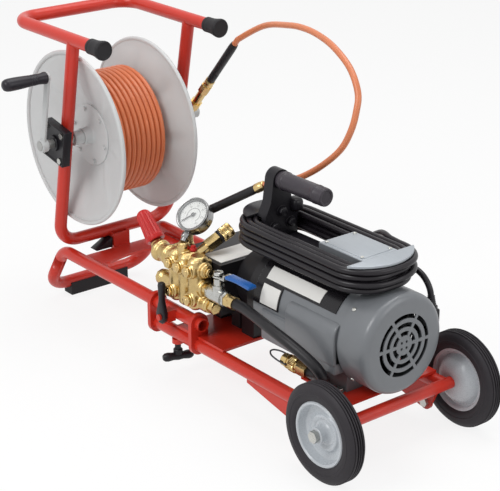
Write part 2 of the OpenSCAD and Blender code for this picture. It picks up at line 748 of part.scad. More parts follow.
// Pump: crankcase, manifold, valve caps and plungers
module crankcase() {
  color("dimgray") difference() {
    box([case_x0, -case_y, case_z0], [case_x1, case_far, case_z1]);
    box([case_x0 + case_t, case_t - case_y, case_z0 + case_t],
      [case_x1 - case_t, case_far - case_t, case_z1 - case_t]);
    at_motor() xcyl(rotor_r + fit, case_mid, case_x1 + 1);
    for (x = plunger_x) translate([x, 0, motor_z]) ycyl(plunger_r + fit, -case_y - 1, 0);
  }
  color("dimgray") for (x = [case_x0 + 24, case_x1 - 34])
    box([x, -40, base_top], [x + 26, 30, case_z0]);
}
module at_knob() { translate([man_x0 - unload_l, man_y, unload_z]) rotate([0, -45, 0]) children(); }
module manifold() {
  color("goldenrod") difference() {
    union() {
      box([man_x0, -case_y - man_d, man_z0], [man_x1, -case_y, man_z1]);
      for (x = plunger_x) translate([x, -case_y - man_d, 0])
        box([-5, -rib_t, man_z0 + 8], [5, 1, man_z1 - 8]);
      translate([0, man_y, unload_z]) xcyl(unload_r, man_x0 - unload_l - 4, man_x0 + 1);
      at_knob() { zcyl(13, 0, knob_s - skin); zcyl(knob_pin, 0, knob_s + knob_l - 6); }
      translate(stem_p) {
        zcyl(9, man_z1 - 1, stem_z);
        translate([0, 0, stem_z]) sphere(10);
      }
    }
    for (x = plunger_x) translate([x, 0, motor_z])
      ycyl(plunger_r + fit, 8 - case_y - man_d, 1 - case_y);
    at_gauge() translate([0, 0, -gauge_t / 2]) rotate([90, 0, 0]) zcyl(stem_w + fit, 0, stem_g + 1);
  }
}
module valve_caps() {
  color("darkgoldenrod") {
    for (x = plunger_x, z = [man_z0 + 22, man_z1 - 24]) if (x != plunger_x[1] || z > motor_z)
      translate([x, -case_y - man_d - rib_t, z]) rotate([90, 0, 0]) {
        cylinder(h = cap_h - 4, r = cap_r);
        hex(cap_r - 3, cap_h);
      }
    translate([man_x1, man_y, man_z0 + 16]) rotate([0, 90, 0]) {
      cylinder(h = 16, r = 13);
      hex(11, 33);
    }
    translate([man_x0, man_y, man_z0 + 24]) rotate([0, -90, 0]) {
      cylinder(h = 44, r = 14);
      hex(11, 52);
    }
  }
}
module plungers() {
  color("white") for (x = plunger_x)
    translate([x, 0, motor_z]) ycyl(plunger_r, 14 - case_y - man_d, -throw_r - crank_off - skin);
}
module unloader_knob() {
  color("red") at_knob() difference() {
    zcyl(knob_r, knob_s, knob_s + knob_l);
    for (k = [0:11]) rotate([0, 0, 30 * k]) translate([knob_r + 1.5, 0, 0])
      zcyl(3.5, knob_s + 10, knob_s + knob_l + 1);
    zcyl(knob_pin + fit, knob_s - 1, knob_s + knob_l - 5.5);
  }
}
// Inlet collar and nut, outlet pipe to the whip hose, and the spare outlet coupling
coup_el = 28;
coup_az = 80;
coup_l = 78;
module brass_fittings() {
  color("goldenrod") {
    at_inlet() {
      xcyl(collar_r, man_x1, valve_x);
      translate([valve_x + valve_l, 0, 0]) rotate([0, 90, 0]) hex(nut_r + 1, 12);
      xcyl(nut_r, valve_x + valve_l + 11, inlet_x);
    }
    difference() {
      union() {
        translate([out_x, 0, unload_z + 4]) ycyl(out_r, man_y, out_y);
        translate([out_x, out_y, unload_z + 4]) sphere(out_r + 2);
        translate([out_x, out_y, 0]) zcyl(out_r, unload_z + 4, out_z);
        translate(out_p) sphere(out_r + 2);
        translate(out_p) rotate([0, 90 - out_el, out_az]) {
          zcyl(out_r, 0, out_l);
          translate([0, 0, 18]) hex(out_r + 4, 18);
        }
      }
      translate([0, man_y, unload_z]) xcyl(unload_r + seat, man_x0 - 2 * unload_l, man_x0 + 1);
    }
    difference() {
      translate([case_mid + 1, -case_y - 8, man_z1 - 4]) rotate([0, 90 - coup_el, coup_az]) {
        zcyl(9, 0, coup_l);
        translate([0, 0, 20]) hex(14, 28);
        zcyl(12, coup_l - 24, coup_l);
      }
      box([man_x0, -case_y - man_d, man_z0], [man_x1, -case_y + 1, man_z1]);
    }
  }
}
// Gauge: the dial faces the crank side and leans back
module at_gauge() {
  translate([gauge_x, gauge_y, gauge_z]) rotate([90 - gauge_tilt, 0, gauge_turn]) children();
}
module gauge_case() {
  color("silver") at_gauge() {
    difference() {
      union() {
        zcyl(gauge_r - 1.5, -gauge_t, 0);
        zcyl(gauge_r, -5, 0);
      }
      zcyl(gauge_r - 4, -7, 1);
    }
    zcyl(2.5, -7.5, -3);
    translate([0, 0, -gauge_t / 2]) rotate([90, 0, 0]) zcyl(stem_w, gauge_r - 3, stem_g);
  }
}
module gauge_needle() {
  color("black") at_gauge() difference() {
    union() {
      zcyl(4, -5, -3.5);
      rotate([0, 0, 225]) box([-6, -1, -4.7], [gauge_r - 10, 1, -3.8]);
    }
    zcyl(2.5 + fit, -8, 0);
  }
}

// Water inlet: ball valve, hose and garden coupling
module at_inlet() { translate([0, man_y, inlet_z]) children(); }
module valve_body() {
  color("lightgray") at_inlet() difference() {
    union() {
      xcyl(valve_d / 2, valve_x + 8, valve_x + valve_l - 8);
      translate([valve_x, 0, 0]) rotate([0, 90, 0]) hex(valve_d / 2 - 1, 9);
      translate([valve_x + valve_l - 9, 0, 0]) rotate([0, 90, 0]) hex(valve_d / 2 - 1, 9);
      translate([stem_x, 0, 0]) {
        zcyl(12, 0, valve_d / 2 + 6);
        zcyl(9, 0, stem_top - inlet_z - 3);
      }
    }
    xcyl(7, valve_x - 1, valve_x + valve_l + 1);
    translate([stem_x, 0, 0]) { sphere(ball_r + skin); zcyl(stem_r + fit, 0, stem_top - inlet_z); }
  }
}
module valve_stem() {
  color("silver") translate([stem_x, man_y, inlet_z]) difference() {
    union() {
      sphere(ball_r);
      zcyl(stem_r, 0, stem_top - inlet_z + lever_t);
      translate([0, 0, stem_top - inlet_z + lever_t]) hex(8, 5);
    }
    xcyl(7, -20, 20);
  }
}
module valve_lever() {
  rise = 12;
  color("royalblue") translate([stem_x, man_y, stem_top]) difference() {
    union() {
      zcyl(11, 0, lever_t);
      box([0, -9, 0], [26, 9, lever_t]);
      box([22, -9, 0], [26, 9, rise]);
      box([22, -10, rise - lever_t], [lever_l, 10, rise + 1]);
    }
    zcyl(stem_r + fit, -1, lever_t + 1);
  }
}
inlet_end = [tail_x, tail_y, tail_z];
inlet_p = [inlet_x, man_y, inlet_z];
inlet_route = [inlet_p, inlet_p + [22, 0, 0], [700, -120, 204], [745, -126, 201],
  [790, -126, 193], [826, -121, 180], [852, -114, 164], [860, -106, 146], [848, -96, 130],
  inlet_end + [20, 0, 0], inlet_end];
module inlet_hose() { color("black") sweep(smooth(inlet_route, 2), inlet_od / 2, 10); }
coupling_l = 66;
module inlet_coupling() {
  color("goldenrod") translate(inlet_end) rotate([0, -90, 0]) difference() {
    union() {
      hex(tail_r, 24);
      zcyl(12, 24, coupling_l);
      zcyl(13.5, coupling_l - 15, coupling_l - 11);
    }
    zcyl(8, 24, coupling_l + 1);
  }
}

// Motor
module motor_shell() {
  half = 58;
  long = 64;
  color("slategray") difference() {
    union() {
      at_motor() xcyl(shell_r, shell_x, cover_x);
      box([foot_x, -half, base_top], [foot_x + long, half, motor_z]);
    }
    at_motor() xcyl(shell_r - shell_t, shell_x - 1, cover_x - 8);
    at_motor() xcyl(rotor_r + fit, shell_x, cover_x + 1);
  }
}
adapter_r = 56;
bell_foot = 48;
module end_bell() {
  color("dimgray") at_motor() difference() {
    union() {
      xcyl(shell_r - 2, drive_x, shell_x);
      xcyl(adapter_r, case_x1, drive_x);
      box([case_x1 + 6, -bell_foot, -motor_h], [case_x1 + 42, bell_foot, -10]);
    }
    xcyl(adapter_r - 6, case_x1 + 8, drive_x - 6);
    xcyl(shell_r - 2 - shell_t, drive_x + 8, shell_x + 1);
    xcyl(rotor_r + fit, case_x1 - 1, shell_x);
  }
}
slot_n = 6;
slot_w = 8;
slot_gap = 7.4;
slot_in = 18;
spoke_w = 6;
module fan_cover() {
  wall = 2.5;
  round = 14;
  color("slategray") at_motor() difference() {
    translate([cover_x, 0, 0]) rotate([0, 90, 0]) rotate_extrude() polygon(concat(
      [[0, cover_l], [0, cover_l - wall]],
      [for (a = [90:-15:0]) [cover_r, cover_l] - round * [1, 1] + (round - wall) * [cos(a), sin(a)]],
      [[cover_r - wall, 0], [cover_r, 0]],
      [for (a = [0:15:90]) [cover_r, cover_l] + round * [cos(a) - 1, sin(a) - 1]]));
    for (k = [0:2], j = [0:slot_n - 1]) {
      turn = 360 / slot_n;
      r = slot_in + k * (slot_w + slot_gap);
      half = asin(spoke_w / 2 / (r + slot_w / 2));
      translate([fan_x - wall - 1, 0, 0]) rotate([turn * (j + 0.5) + half, 0, 0]) rotate([0, 90, 0])
        rotate_extrude(angle = turn - 2 * half) translate([r, 0]) square([slot_w, wall + 2]);
    }
    for (j = [0:3]) rotate([90 * j + 45, 0, 0]) translate([0, 8, 0]) xcyl(2.5, fan_x - 5, fan_x + 1);
  }
}
fan_r = cover_r - 14;
// Iron of the motor: the stator with its end windings sits in the shell, the rotor core inside it
rotor_core = 45;
core_x0 = shell_x + 62;
core_x1 = core_x0 + 80;
module stator() {
  color("peru") at_motor() difference() {
    union() {
      xcyl(shell_r - shell_t - seat, core_x0, core_x1);
      xcyl(rotor_core + 26, core_x0 - 22, core_x1 + 22);
    }
    xcyl(rotor_core + 1, core_x0 - 23, core_x1 + 23);
  }
}
module rotor() {
  color("silver") at_motor() {
    xcyl(rotor_r, case_x0 + 2 * case_t, fan_x - 18);
    xcyl(rotor_core, core_x0, core_x1);
    for (i = [0:2]) rotate([120 * i, 0, 0]) translate([0, crank_off, 0])
      xcyl(throw_r, plunger_x[i] - 9, plunger_x[i] + 9);
    xcyl(22, cover_x + 12, fan_x - 22);
    for (k = [0:6]) rotate([360 * k / 7, 0, 0]) box([cover_x + 14, 0, -1.5], [fan_x - 24, fan_r, 1.5]);
  }
}
// Side cover: a low box along the motor, and the round-shouldered capacitor box on it
shoulder = 24;
side_y0 = shell_r + 7;
side_low = motor_z - 58;
side_top = motor_z + 38;
side_x1 = cover_x - 6;
cap_x0 = side_x1 - 129;
side_in = -60;
module cap_box(t) {
  low = motor_z - 40;
  translate([cap_x0 + t, 0, 0]) rotate([90, 0, 90]) linear_extrude(side_x1 - cap_x0 - 2 * t) polygon(concat(
    [[side_in, side_top - t], [side_in, low], [t - side_y0, low]],
    [for (a = [180:-15:90]) [shoulder - side_y0, side_top - shoulder] + (shoulder - t) * [cos(a), sin(a)]]));
}
module capacitor_cover() {
  color("slategray") difference() {
    union() {
      box([shell_x + 26, 3 - side_y0, side_low], [side_x1, side_in, motor_z]);
      cap_box(0);
    }
    at_motor() xcyl(shell_r + seat, shell_x, fan_x);
    cap_box(4);
  }
}
// A curved sheet on the motor, between two angles from the top towards the crank side
module wrap(r, t, x0, x1, a0, a1) {
  at_motor() translate([x0, 0, 0]) rotate([180 + a0, 0, 0]) rotate([0, 90, 0])
    rotate_extrude(angle = a1 - a0) translate([r, 0]) square([t, x1 - x0]);
}
panel_r = shell_r + seat;
panel_t = 1.6;
plate_r = panel_r + panel_t + fit;
label_t = 1;
module wrap_panel() {
  color("black") difference() {
    wrap(panel_r, panel_t, shell_x + 2, cover_x - 24, 30, 86);
    wrap(panel_r - 1, panel_t + 2, shell_x + 70, cover_x, 58, 90);
  }
}
module blank_plates() {
  color("white") {
    wrap(plate_r, label_t, shell_x + 21, shell_x + 163, 39, 55);
    wrap(plate_r, label_t, shell_x + 21, shell_x + 67, 61, 84);
    box([case_mid - 4, -case_y + 10, case_z1], [case_mid + 48, 12, case_z1 + label_t]);
    box([box_x + 6, -box_y + 4, lid_z], [box_x + box_l - 6, box_y - 4, lid_z + label_t]);
  }
}
// What the cord loops go round, and all the room outside it at the height of the loops
module coil_core(inset) {
  hull() both() for (x = [coil_x0 + coil_rc, coil_x1 - coil_rc])
    translate([x, coil_b - coil_rc, 0])
      zcyl(coil_rc - cord_r - skin - inset, motor_z, max(lid_z, lip_z) + 1);
}
lip_z = coil_z + 3 * cord_pitch + cord_r + 0.7;
module coil_room() {
  difference() {
    box([bracket_x - 1, -2 * box_y, coil_z - cord_r - 1], [coil_x1, 2 * box_y, lip_z]);
    coil_core(0);
  }
}
rocker_h = 22;
rocker_w = 15;
rocker_z = lid_z - 26;
module switch_box() {
  wall = 3;
  color("gray") difference() {
    box([box_x, -box_y, motor_z], [box_x + box_l, box_y, lid_z]);
    coil_room();
    intersection() {
      box([box_x + wall, wall - box_y, motor_z - 1], [box_x + box_l - wall, box_y - wall, lid_z - wall]);
      coil_core(wall);
    }
    at_motor() xcyl(shell_r + seat, shell_x, cover_x);
    at_motor() xcyl(cover_r + seat, cover_x - seat, fan_x + 1);
    box([box_x - 1, -rocker_w / 2 - skin, rocker_z - rocker_h / 2 - skin],
      [box_x + wall + 1, rocker_w / 2 + skin, rocker_z + rocker_h / 2 + skin]);
  }
  color("gray") both() translate([box_x + wall + 2, rocker_w / 2 + 0.3, rocker_z])
    box([-3, 0, -4], [5, box_y - wall - rocker_w / 2 - 0.2, 4]);
}
module switch_rocker() {
  color("black") translate([box_x + 3, 0, rocker_z]) rotate([0, 8, 0]) {
    difference() {
      ycyl(rocker_h / 2 - 1, -rocker_w / 2, rocker_w / 2);
      box([1, -rocker_w, -rocker_h], [rocker_h, rocker_w, rocker_h]);
      translate([-rocker_h - 5.5, 0, 0]) ycyl(rocker_h, -rocker_w, rocker_w);
    }
  }
}

// Carry handle and the lips that hold the cord
module handle_bracket() {
  boss = 19;
  wide = 39;
  color("black") difference() {
    union() {
      translate([bracket_x, 0, motor_z]) rotate([90, 0, 90]) linear_extrude(bracket_t) union() {
        translate([0, carry_h]) circle(boss);
        polygon([[-boss, carry_h], [boss, carry_h], [boss + 5, carry_h - 40], [wide, carry_h - 72],
          [wide, shell_r + 8], [-wide, shell_r + 8], [-wide, carry_h - 72], [-boss - 5, carry_h - 40]]);
      }
      box([bracket_x, -wide, motor_z + shell_r - 16], [shell_x + 60, wide, motor_z + shell_r + 9]);
    }
    at_motor() xcyl(shell_r + seat, bracket_x - 1, shell_x + 61);
    coil_room();
  }
}
module carry_grip() {
  color("black") translate([0, 0, carry_z]) {
    xcyl(carry_d / 2 - 2, bracket_x + bracket_t, bracket_x + bracket_t + 10);
    xcyl(carry_d / 2, bracket_x + bracket_t + 10, bracket_x + bracket_t + carry_l);
  }
}
lip_y = 77;
lip_out = 40;
function arc_r(half, out) = (half * half + out * out) / (2 * out);
module lip(half, out) {
  r = arc_r(half, out);
  intersection() {
    translate([out - r, 0, 0]) zcyl(r, 0, lip_t);
    box([0, -half, 0], [out, half, lip_t]);
  }
}
module cord_lips() {
  color("gray") {
    translate([box_x + box_l, 0, lip_z]) lip(lip_y, lip_out);
    translate([bracket_x, 0, lip_z]) mirror([1, 0, 0]) lip(lip_y - 17, lip_out + 10);
  }
}

// Power cord: loops round the box and the bracket, four layers that spiral in and out
// Place on a rounded rectangle grown by d, at ring u of 24, from the far front corner backwards
function loop_at(u, d) = let (a = coil_a + d, b = coil_b + d, r = coil_rc + d, c = [a - r, b - r],
  side = floor(u / 6) % 4, v = u % 6, w = v / 2, s = r * sin((v - 2) * 22.5), k = r * cos((v - 2) * 22.5))
  side == 0 ? (v < 2 ? [lerp(c[0], -c[0], w), b] : [-c[0] - s, c[1] + k])
  : side == 1 ? (v < 2 ? [-a, lerp(c[1], -c[1], w)] : [-c[0] - k, -c[1] - s])
  : side == 2 ? (v < 2 ? [lerp(-c[0], c[0], w), -b] : [c[0] + s, -c[1] - k])
  : (v < 2 ? [a, lerp(-c[1], c[1], w)] : [c[0] + k, c[1] + s]);
function ramp(t) = t <= 0 ? 0 : t >= 1 ? 1 : t;
function coil_d(t) = let (w = t / cord_n, k = floor(w), s = w - k) coil_out * (k % 2 == 0 ? 1 - s : s);
function step_up(t, k) = ramp((t - k * cord_n) * 2 + 0.5);
function coil_h(t) = step_up(t, 1) + step_up(t, 2) + step_up(t, 3);
function coil_at(t) = let (q = loop_at((t * 24) % 24, coil_d(t)))
  [coil_mid + q[0], q[1], coil_z + cord_pitch * coil_h(t)];
coil_turns = 4 * cord_n;
coil_path = let (h = [for (i = [0:24 * coil_turns]) coil_at(i / 24)], n = len(h) - 1)
  concat([h[0] + cord_od * [1, 0, 0]], h, [h[n] - cord_od * [1, 0, 0]]);
coil_gap = self_gap(coil_path, cord_od, 16);
module cord_coil() {
  echo(coil_gap = coil_gap);
  color("black") sweep(coil_path, cord_r, 6);
}
coil_start = coil_path[0];
coil_end = coil_path[len(coil_path) - 1];
plug_p = coil_end + [-170, cord_r + plug_r + 0.9, -50];
tail_bend = 4 * cord_od;
function ease(s) = s * s * (3 - 2 * s);
tail_route = concat([[gland_x, gland_y, gland_z]],
  [for (k = [0:5]) [gland_x - tail_bend * (1 - cos(18 * k)), lerp(gland_y, coil_start[1], k / 5),
    coil_start[2] - tail_bend * (1 - sin(18 * k))]], [coil_start]);
// The plug's end first steps out of the coil, then sinks behind it
end_route = concat([coil_end], [for (s = [0.125:0.125:1]) [lerp(coil_end[0] - 6, plug_p[0] + 14, s),
  lerp(coil_end[1], plug_p[1], ease(ramp(s * 1.7))),
  lerp(coil_end[2], plug_p[2], ease(ramp((s - 0.25) / 0.75)))]], [plug_p]);
module cord_ends() {
  color("black") {
    sweep(smooth(tail_route, 2), cord_r, 8, [0.2, 1, 0.4]);
    sweep(smooth(end_route, 2), cord_r, 8, [0.2, 0.4, 1]);
  }
}
module cord_gland() {
  color("black") difference() {
    union() {
      translate([gland_x, gland_y, 0]) zcyl(gland_r, motor_z + 20, gland_z);
      box([gland_x - entry_w, gland_y - 2 * entry_w, motor_z + 8],
        [gland_x + entry_w, gland_y + entry_w, gland_z - 10]);
    }
    at_motor() xcyl(cover_r + seat, cover_x - 40, fan_x + 40);
  }
}
module cord_plug() {
  color("black") translate(plug_p) rotate([0, 90, 0]) {
    zcyl(plug_r - 5, -14, 0);
    zcyl(plug_r, -plug_l, -13);
    for (y = [-6, 6]) box([-3, y - 0.8, -plug_l - 16], [3, y + 0.8, -plug_l]);
    translate([8, 0, 0]) zcyl(2.4, -plug_l - 18, -plug_l);
  }
}

front_frame();
base_plates();
rear_frame();
foot_rubber();
saddle_plate();
reel_stand();
handle_bar();
end_caps();
bearing_blocks();
axle_pins();
bolts();
clamp_lever();
clamp_knob();
tyre_near();
wheel_near();
tyre_far();
wheel_far();
flange_near_disc();
flange_far_disc();
drum_core();
hose_core();
jet_hose();
reel_shaft();
hub_plates();
crank_arm();
crank_grip();
swivel_body();
swivel_elbow();
whip_sleeves();
whip_hose();
crankcase();
manifold();
valve_caps();
plungers();
unloader_knob();
brass_fittings();
gauge_case();
gauge_needle();
valve_body();
valve_stem();
valve_lever();
inlet_hose();
inlet_coupling();
motor_shell();
end_bell();
fan_cover();
stator();
rotor();
capacitor_cover();
wrap_panel();
blank_plates();
switch_box();
switch_rocker();
handle_bracket();
carry_grip();
cord_lips();
cord_coil();
cord_ends();
cord_gland();
cord_plug();
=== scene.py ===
# %% [markdown]
# A drain jetter, dressed for its portrait.
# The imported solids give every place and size, and this lesson adds what a machinist, a painter
# and a hose fitter would add. Lengths in the drawings are millimetres, and Blender's are metres.

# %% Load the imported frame
import math

import bmesh
import bpy
from mathutils import Matrix, Vector


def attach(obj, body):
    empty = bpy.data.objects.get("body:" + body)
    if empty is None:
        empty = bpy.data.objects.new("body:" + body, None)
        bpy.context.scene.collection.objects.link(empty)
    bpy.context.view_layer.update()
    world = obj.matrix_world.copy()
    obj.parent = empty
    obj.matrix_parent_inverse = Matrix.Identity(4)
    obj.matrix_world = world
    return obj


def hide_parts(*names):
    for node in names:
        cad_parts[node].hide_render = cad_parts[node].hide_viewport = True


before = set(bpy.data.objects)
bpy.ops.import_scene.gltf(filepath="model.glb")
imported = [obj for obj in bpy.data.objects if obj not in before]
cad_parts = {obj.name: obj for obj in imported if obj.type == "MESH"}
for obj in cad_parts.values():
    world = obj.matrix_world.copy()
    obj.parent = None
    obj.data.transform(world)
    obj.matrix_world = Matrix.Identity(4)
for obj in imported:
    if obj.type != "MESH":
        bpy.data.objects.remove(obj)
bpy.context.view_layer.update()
MM = 0.001

# %% [markdown]
# The camera comes first, because the cords are judged by what it sees. It stands where the
# photographer stood: ahead of the wheels, on the crank side, with a long lens.

# %% Camera
CAMERA_AT = (2.6480, -1.6978, 1.3493)
CAMERA_TURN = math.radians(51.27)
CAMERA_RISE = math.radians(21.91)
FILM_WIDE, LENS = 36, 113.1
camera = bpy.data.objects.new("camera", bpy.data.cameras.new("camera"))
bpy.context.scene.collection.objects.link(camera)
bpy.context.scene.camera = camera
backward = Vector((math.sin(CAMERA_TURN) * math.cos(CAMERA_RISE),
                   -math.cos(CAMERA_TURN) * math.cos(CAMERA_RISE), math.sin(CAMERA_RISE)))
camera.location = CAMERA_AT
camera.rotation_mode = "QUATERNION"
camera.rotation_quaternion = (-backward).to_track_quat("-Z", "Y")
camera.data.sensor_width = FILM_WIDE
camera.data.lens = LENS
camera.data.clip_end = 50
print("camera", tuple(round(c, 3) for c in camera.location))

# %% [markdown]
# Finishes. A real surface is never one flat colour, so each finish mixes a slow mottle into its
# colour and a fine grain into its gloss and its bump. Object coordinates are in metres, so a
# scale of 400 gives grains of two or three millimetres.


# %% Finish helper
ROUGH_SWING, COAT_ROUGH = 0.10, 0.12


def shade(colour, factor):
    return tuple(min(1.0, c * factor) for c in colour) + (1.0,)


def finish(name, colour, rough, metal=0.0, mottle=0.06, mottle_scale=35, grain=0.08, grain_scale=420,
           depth=0.0006, stretch=(1, 1, 1), coat=0.0, shine=0.5):
    paint = bpy.data.materials.new(name)
    paint.use_nodes = True
    nodes, wire = paint.node_tree.nodes, paint.node_tree.links.new
    shader = nodes["Principled BSDF"]
    shader.inputs["Metallic"].default_value = metal
    shader.inputs["Specular IOR Level"].default_value = shine
    shader.inputs["Coat Weight"].default_value = coat
    shader.inputs["Coat Roughness"].default_value = COAT_ROUGH
    place = nodes.new("ShaderNodeTexCoord")
    turn = nodes.new("ShaderNodeMapping")
    turn.inputs["Scale"].default_value = stretch
    wire(place.outputs["Object"], turn.inputs["Vector"])
    slow, fine = nodes.new("ShaderNodeTexNoise"), nodes.new("ShaderNodeTexNoise")
    for noise, scale, detail in ((slow, mottle_scale, 4), (fine, grain_scale, 3)):
        noise.inputs["Scale"].default_value = scale
        noise.inputs["Detail"].default_value = detail
        wire(turn.outputs["Vector"], noise.inputs["Vector"])
    tint = nodes.new("ShaderNodeMix")
    tint.data_type = "RGBA"
    tint.inputs["A"].default_value = shade(colour, 1 - mottle)
    tint.inputs["B"].default_value = shade(colour, 1 + mottle)
    wire(slow.outputs["Fac"], tint.inputs["Factor"])
    wire(tint.outputs["Result"], shader.inputs["Base Color"])
    gloss = nodes.new("ShaderNodeMapRange")
    gloss.inputs["To Min"].default_value = max(0.02, rough - ROUGH_SWING)
    gloss.inputs["To Max"].default_value = min(1.0, rough + ROUGH_SWING)
    wire(fine.outputs["Fac"], gloss.inputs["Value"])
    wire(gloss.outputs["Result"], shader.inputs["Roughness"])
    bump = nodes.new("ShaderNodeBump")
    bump.inputs["Strength"].default_value = grain
    bump.inputs["Distance"].default_value = depth
    wire(fine.outputs["Fac"], bump.inputs["Height"])
    wire(bump.outputs["Normal"], shader.inputs["Normal"])
    return paint


# %% Finishes of this machine
red_paint = finish("red_paint", (0.575, 0.030, 0.015), 0.32, grain=0.05, grain_scale=700, coat=0.15,
                   shine=0.35)
black_rubber = finish("black_rubber", (0.018, 0.017, 0.019), 0.60, grain=0.20, grain_scale=900,
                      shine=0.25)
black_moulding = finish("black_moulding", (0.010, 0.009, 0.012), 0.36, grain=0.12, grain_scale=800,
                        shine=0.28)
grip_vinyl = finish("grip_vinyl", (0.014, 0.012, 0.017), 0.36, grain=0.10, grain_scale=1200, shine=0.30)
zinc_steel = finish("zinc_steel", (0.52, 0.52, 0.49), 0.30, metal=1.0, mottle=0.2, grain=0.05,
                    stretch=(1, 1, 6))
shaft_steel = finish("shaft_steel", (0.40, 0.40, 0.39), 0.38, metal=0.8, grain=0.05, stretch=(1, 8, 1))
fan_black = finish("fan_black", (0.012, 0.012, 0.013), 0.6, grain=0.1, shine=0.2)
tyre_rubber = finish("tyre_rubber", (0.024, 0.021, 0.025), 0.60, mottle=0.16, grain=0.25,
                     grain_scale=600, shine=0.3)
wheel_enamel = finish("wheel_enamel", (0.50, 0.53, 0.56), 0.28, mottle=0.05, grain=0.05, coat=0.2)
reel_enamel = finish("reel_enamel", (0.57, 0.58, 0.58), 0.42, mottle=0.03, grain=0.05, grain_scale=600)
crank_enamel = finish("crank_enamel", (0.50, 0.51, 0.51), 0.40, mottle=0.04, grain=0.05)
orange_hose = finish("orange_hose", (0.62, 0.165, 0.060), 0.34, mottle=0.10, grain=0.06, grain_scale=900)
whip_orange = finish("whip_orange", (0.64, 0.20, 0.085), 0.34, mottle=0.10, grain=0.06, grain_scale=900)
black_hose = finish("black_hose", (0.013, 0.012, 0.014), 0.40, mottle=0.12, grain=0.10,
                    grain_scale=900, shine=0.3)
cord_jacket = finish("cord_jacket", (0.011, 0.009, 0.012), 0.32, mottle=0.12, grain=0.05,
                     grain_scale=700, shine=0.32)
# The strong mottle of the cast brass is partly the casting's own uneven tone and partly painted shade and
# reflection: its dark patches stand for the shade and dark reflections among the lumps.
cast_brass_tone_and_shade = finish("cast_brass_tone_and_shade", (0.56, 0.41, 0.185), 0.30, metal=1.0, mottle=0.38, mottle_scale=60,
                    grain=0.5, grain_scale=260, depth=0.0016)
turned_brass = finish("turned_brass", (0.60, 0.44, 0.20), 0.22, metal=1.0, mottle=0.25,
                      mottle_scale=90, grain=0.08)
nickel_plate = finish("nickel_plate", (0.50, 0.50, 0.48), 0.24, metal=1.0, mottle=0.22,
                      mottle_scale=80, grain=0.16)
motor_enamel = finish("motor_enamel", (0.165, 0.175, 0.188), 0.34, mottle=0.06, grain=0.10,
                      grain_scale=500, coat=0.15)
pump_black = finish("pump_black", (0.013, 0.012, 0.014), 0.44, grain=0.22, grain_scale=420, shine=0.3)
panel_black = finish("panel_black", (0.008, 0.007, 0.009), 0.28, grain=0.03, shine=0.35)
white_plate = finish("white_plate", (0.80, 0.79, 0.76), 0.42, mottle=0.02, grain=0.02)
lid_plate = finish("lid_plate", (0.36, 0.39, 0.42), 0.36, metal=0.3, mottle=0.06, stretch=(1, 9, 1))
gauge_steel = finish("gauge_steel", (0.30, 0.30, 0.30), 0.22, metal=1.0, mottle=0.25,
                     mottle_scale=60, grain=0.05)
# The carry grip's vinyl is lighter than the crank grip's as painted sheen: its colour is raised to the
# brightness of the highlight along the grip.
carry_vinyl_painted_sheen = finish("carry_vinyl_painted_sheen", (0.034, 0.028, 0.036), 0.42, grain=0.10, grain_scale=1200, shine=0.4)
knob_red = finish("knob_red", (0.50, 0.017, 0.016), 0.36, mottle=0.05, grain=0.05, coat=0.05, shine=0.3)
blue_vinyl = finish("blue_vinyl", (0.010, 0.105, 0.38), 0.30, mottle=0.10, grain=0.04, coat=0.08, shine=0.4)
dial_white = finish("dial_white", (0.80, 0.80, 0.78), 0.5, mottle=0.01, grain=0.0)
dial_ink = finish("dial_ink", (0.02, 0.02, 0.02), 0.5, grain=0.0)
dark_wire = finish("dark_wire", (0.08, 0.08, 0.09), 0.36, metal=0.7, grain=0.05)
ceramic_white = finish("ceramic_white", (0.78, 0.77, 0.73), 0.22, grain=0.02)
winding_iron = finish("winding_iron", (0.26, 0.14, 0.07), 0.55, mottle=0.25, grain=0.3)
print("finishes", len(bpy.data.materials))

# %% [markdown]
# Routes. A hose follows a smooth line through the points that its solid follows. A spline that
# passes through every point is used, with its first and last stretch straight, because a fitting
# holds a hose straight for a little way.


# %% Lines through points
def spline_at(a, b, c, d, t):
    return 0.5 * (2 * b + (c - a) * t + (2 * a - 5 * b + 4 * c - d) * t * t
                  + (3 * b - a - 3 * c + d) * t ** 3)


def smooth_route(points, steps):
    p = [Vector(q) for q in points]
    bends = [spline_at(p[i - 1], p[i], p[i + 1], p[i + 2], j / steps)
             for i in range(1, len(p) - 2) for j in range(steps)]
    return [p[0]] + bends + [p[-2], p[-1]]


def route_length(points):
    return sum((b - a).length for a, b in zip(points, points[1:])) * MM


def tube_line(name, points, diameter, paint, body, rounds=6):
    line = bpy.data.curves.new(name, "CURVE")
    line.dimensions = "3D"
    run = line.splines.new("POLY")
    run.points.add(len(points) - 1)
    for dot, place in zip(run.points, points):
        dot.co = (*(Vector(place) * MM), 1)
    line.bevel_depth = diameter / 2 * MM
    line.bevel_resolution = rounds
    line.use_fill_caps = True
    piece = bpy.data.objects.new(name, line)
    bpy.context.scene.collection.objects.link(piece)
    line.materials.append(paint)
    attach(piece, body)
    print(name, "length", round(route_length([Vector(p) for p in points]), 3), "m")
    return piece


# %% [markdown]
# The power cord leaves the fan cover, is wound in four layers round the switch box and the bracket,
# and ends in its plug behind the coil. It is one line from end to end. Every loop is a rectangle with
# round corners, and a function of the turn lays it, because points by hand would be hundreds.

# %% Loops of the power cord
CORD_D, CORD_PITCH, CORD_TURNS, CORD_LAYERS = 11, 11.6, 3, 4
COIL_MID, COIL_HALF, COIL_WIDE, COIL_CORNER, COIL_Z = 739.5, 149.5, 47, 36, 305
SIDE, STRAIGHT, CORNER_STEP, COIL_STEPS = 6, 2, 22.5, 72
LOOP = 4 * SIDE


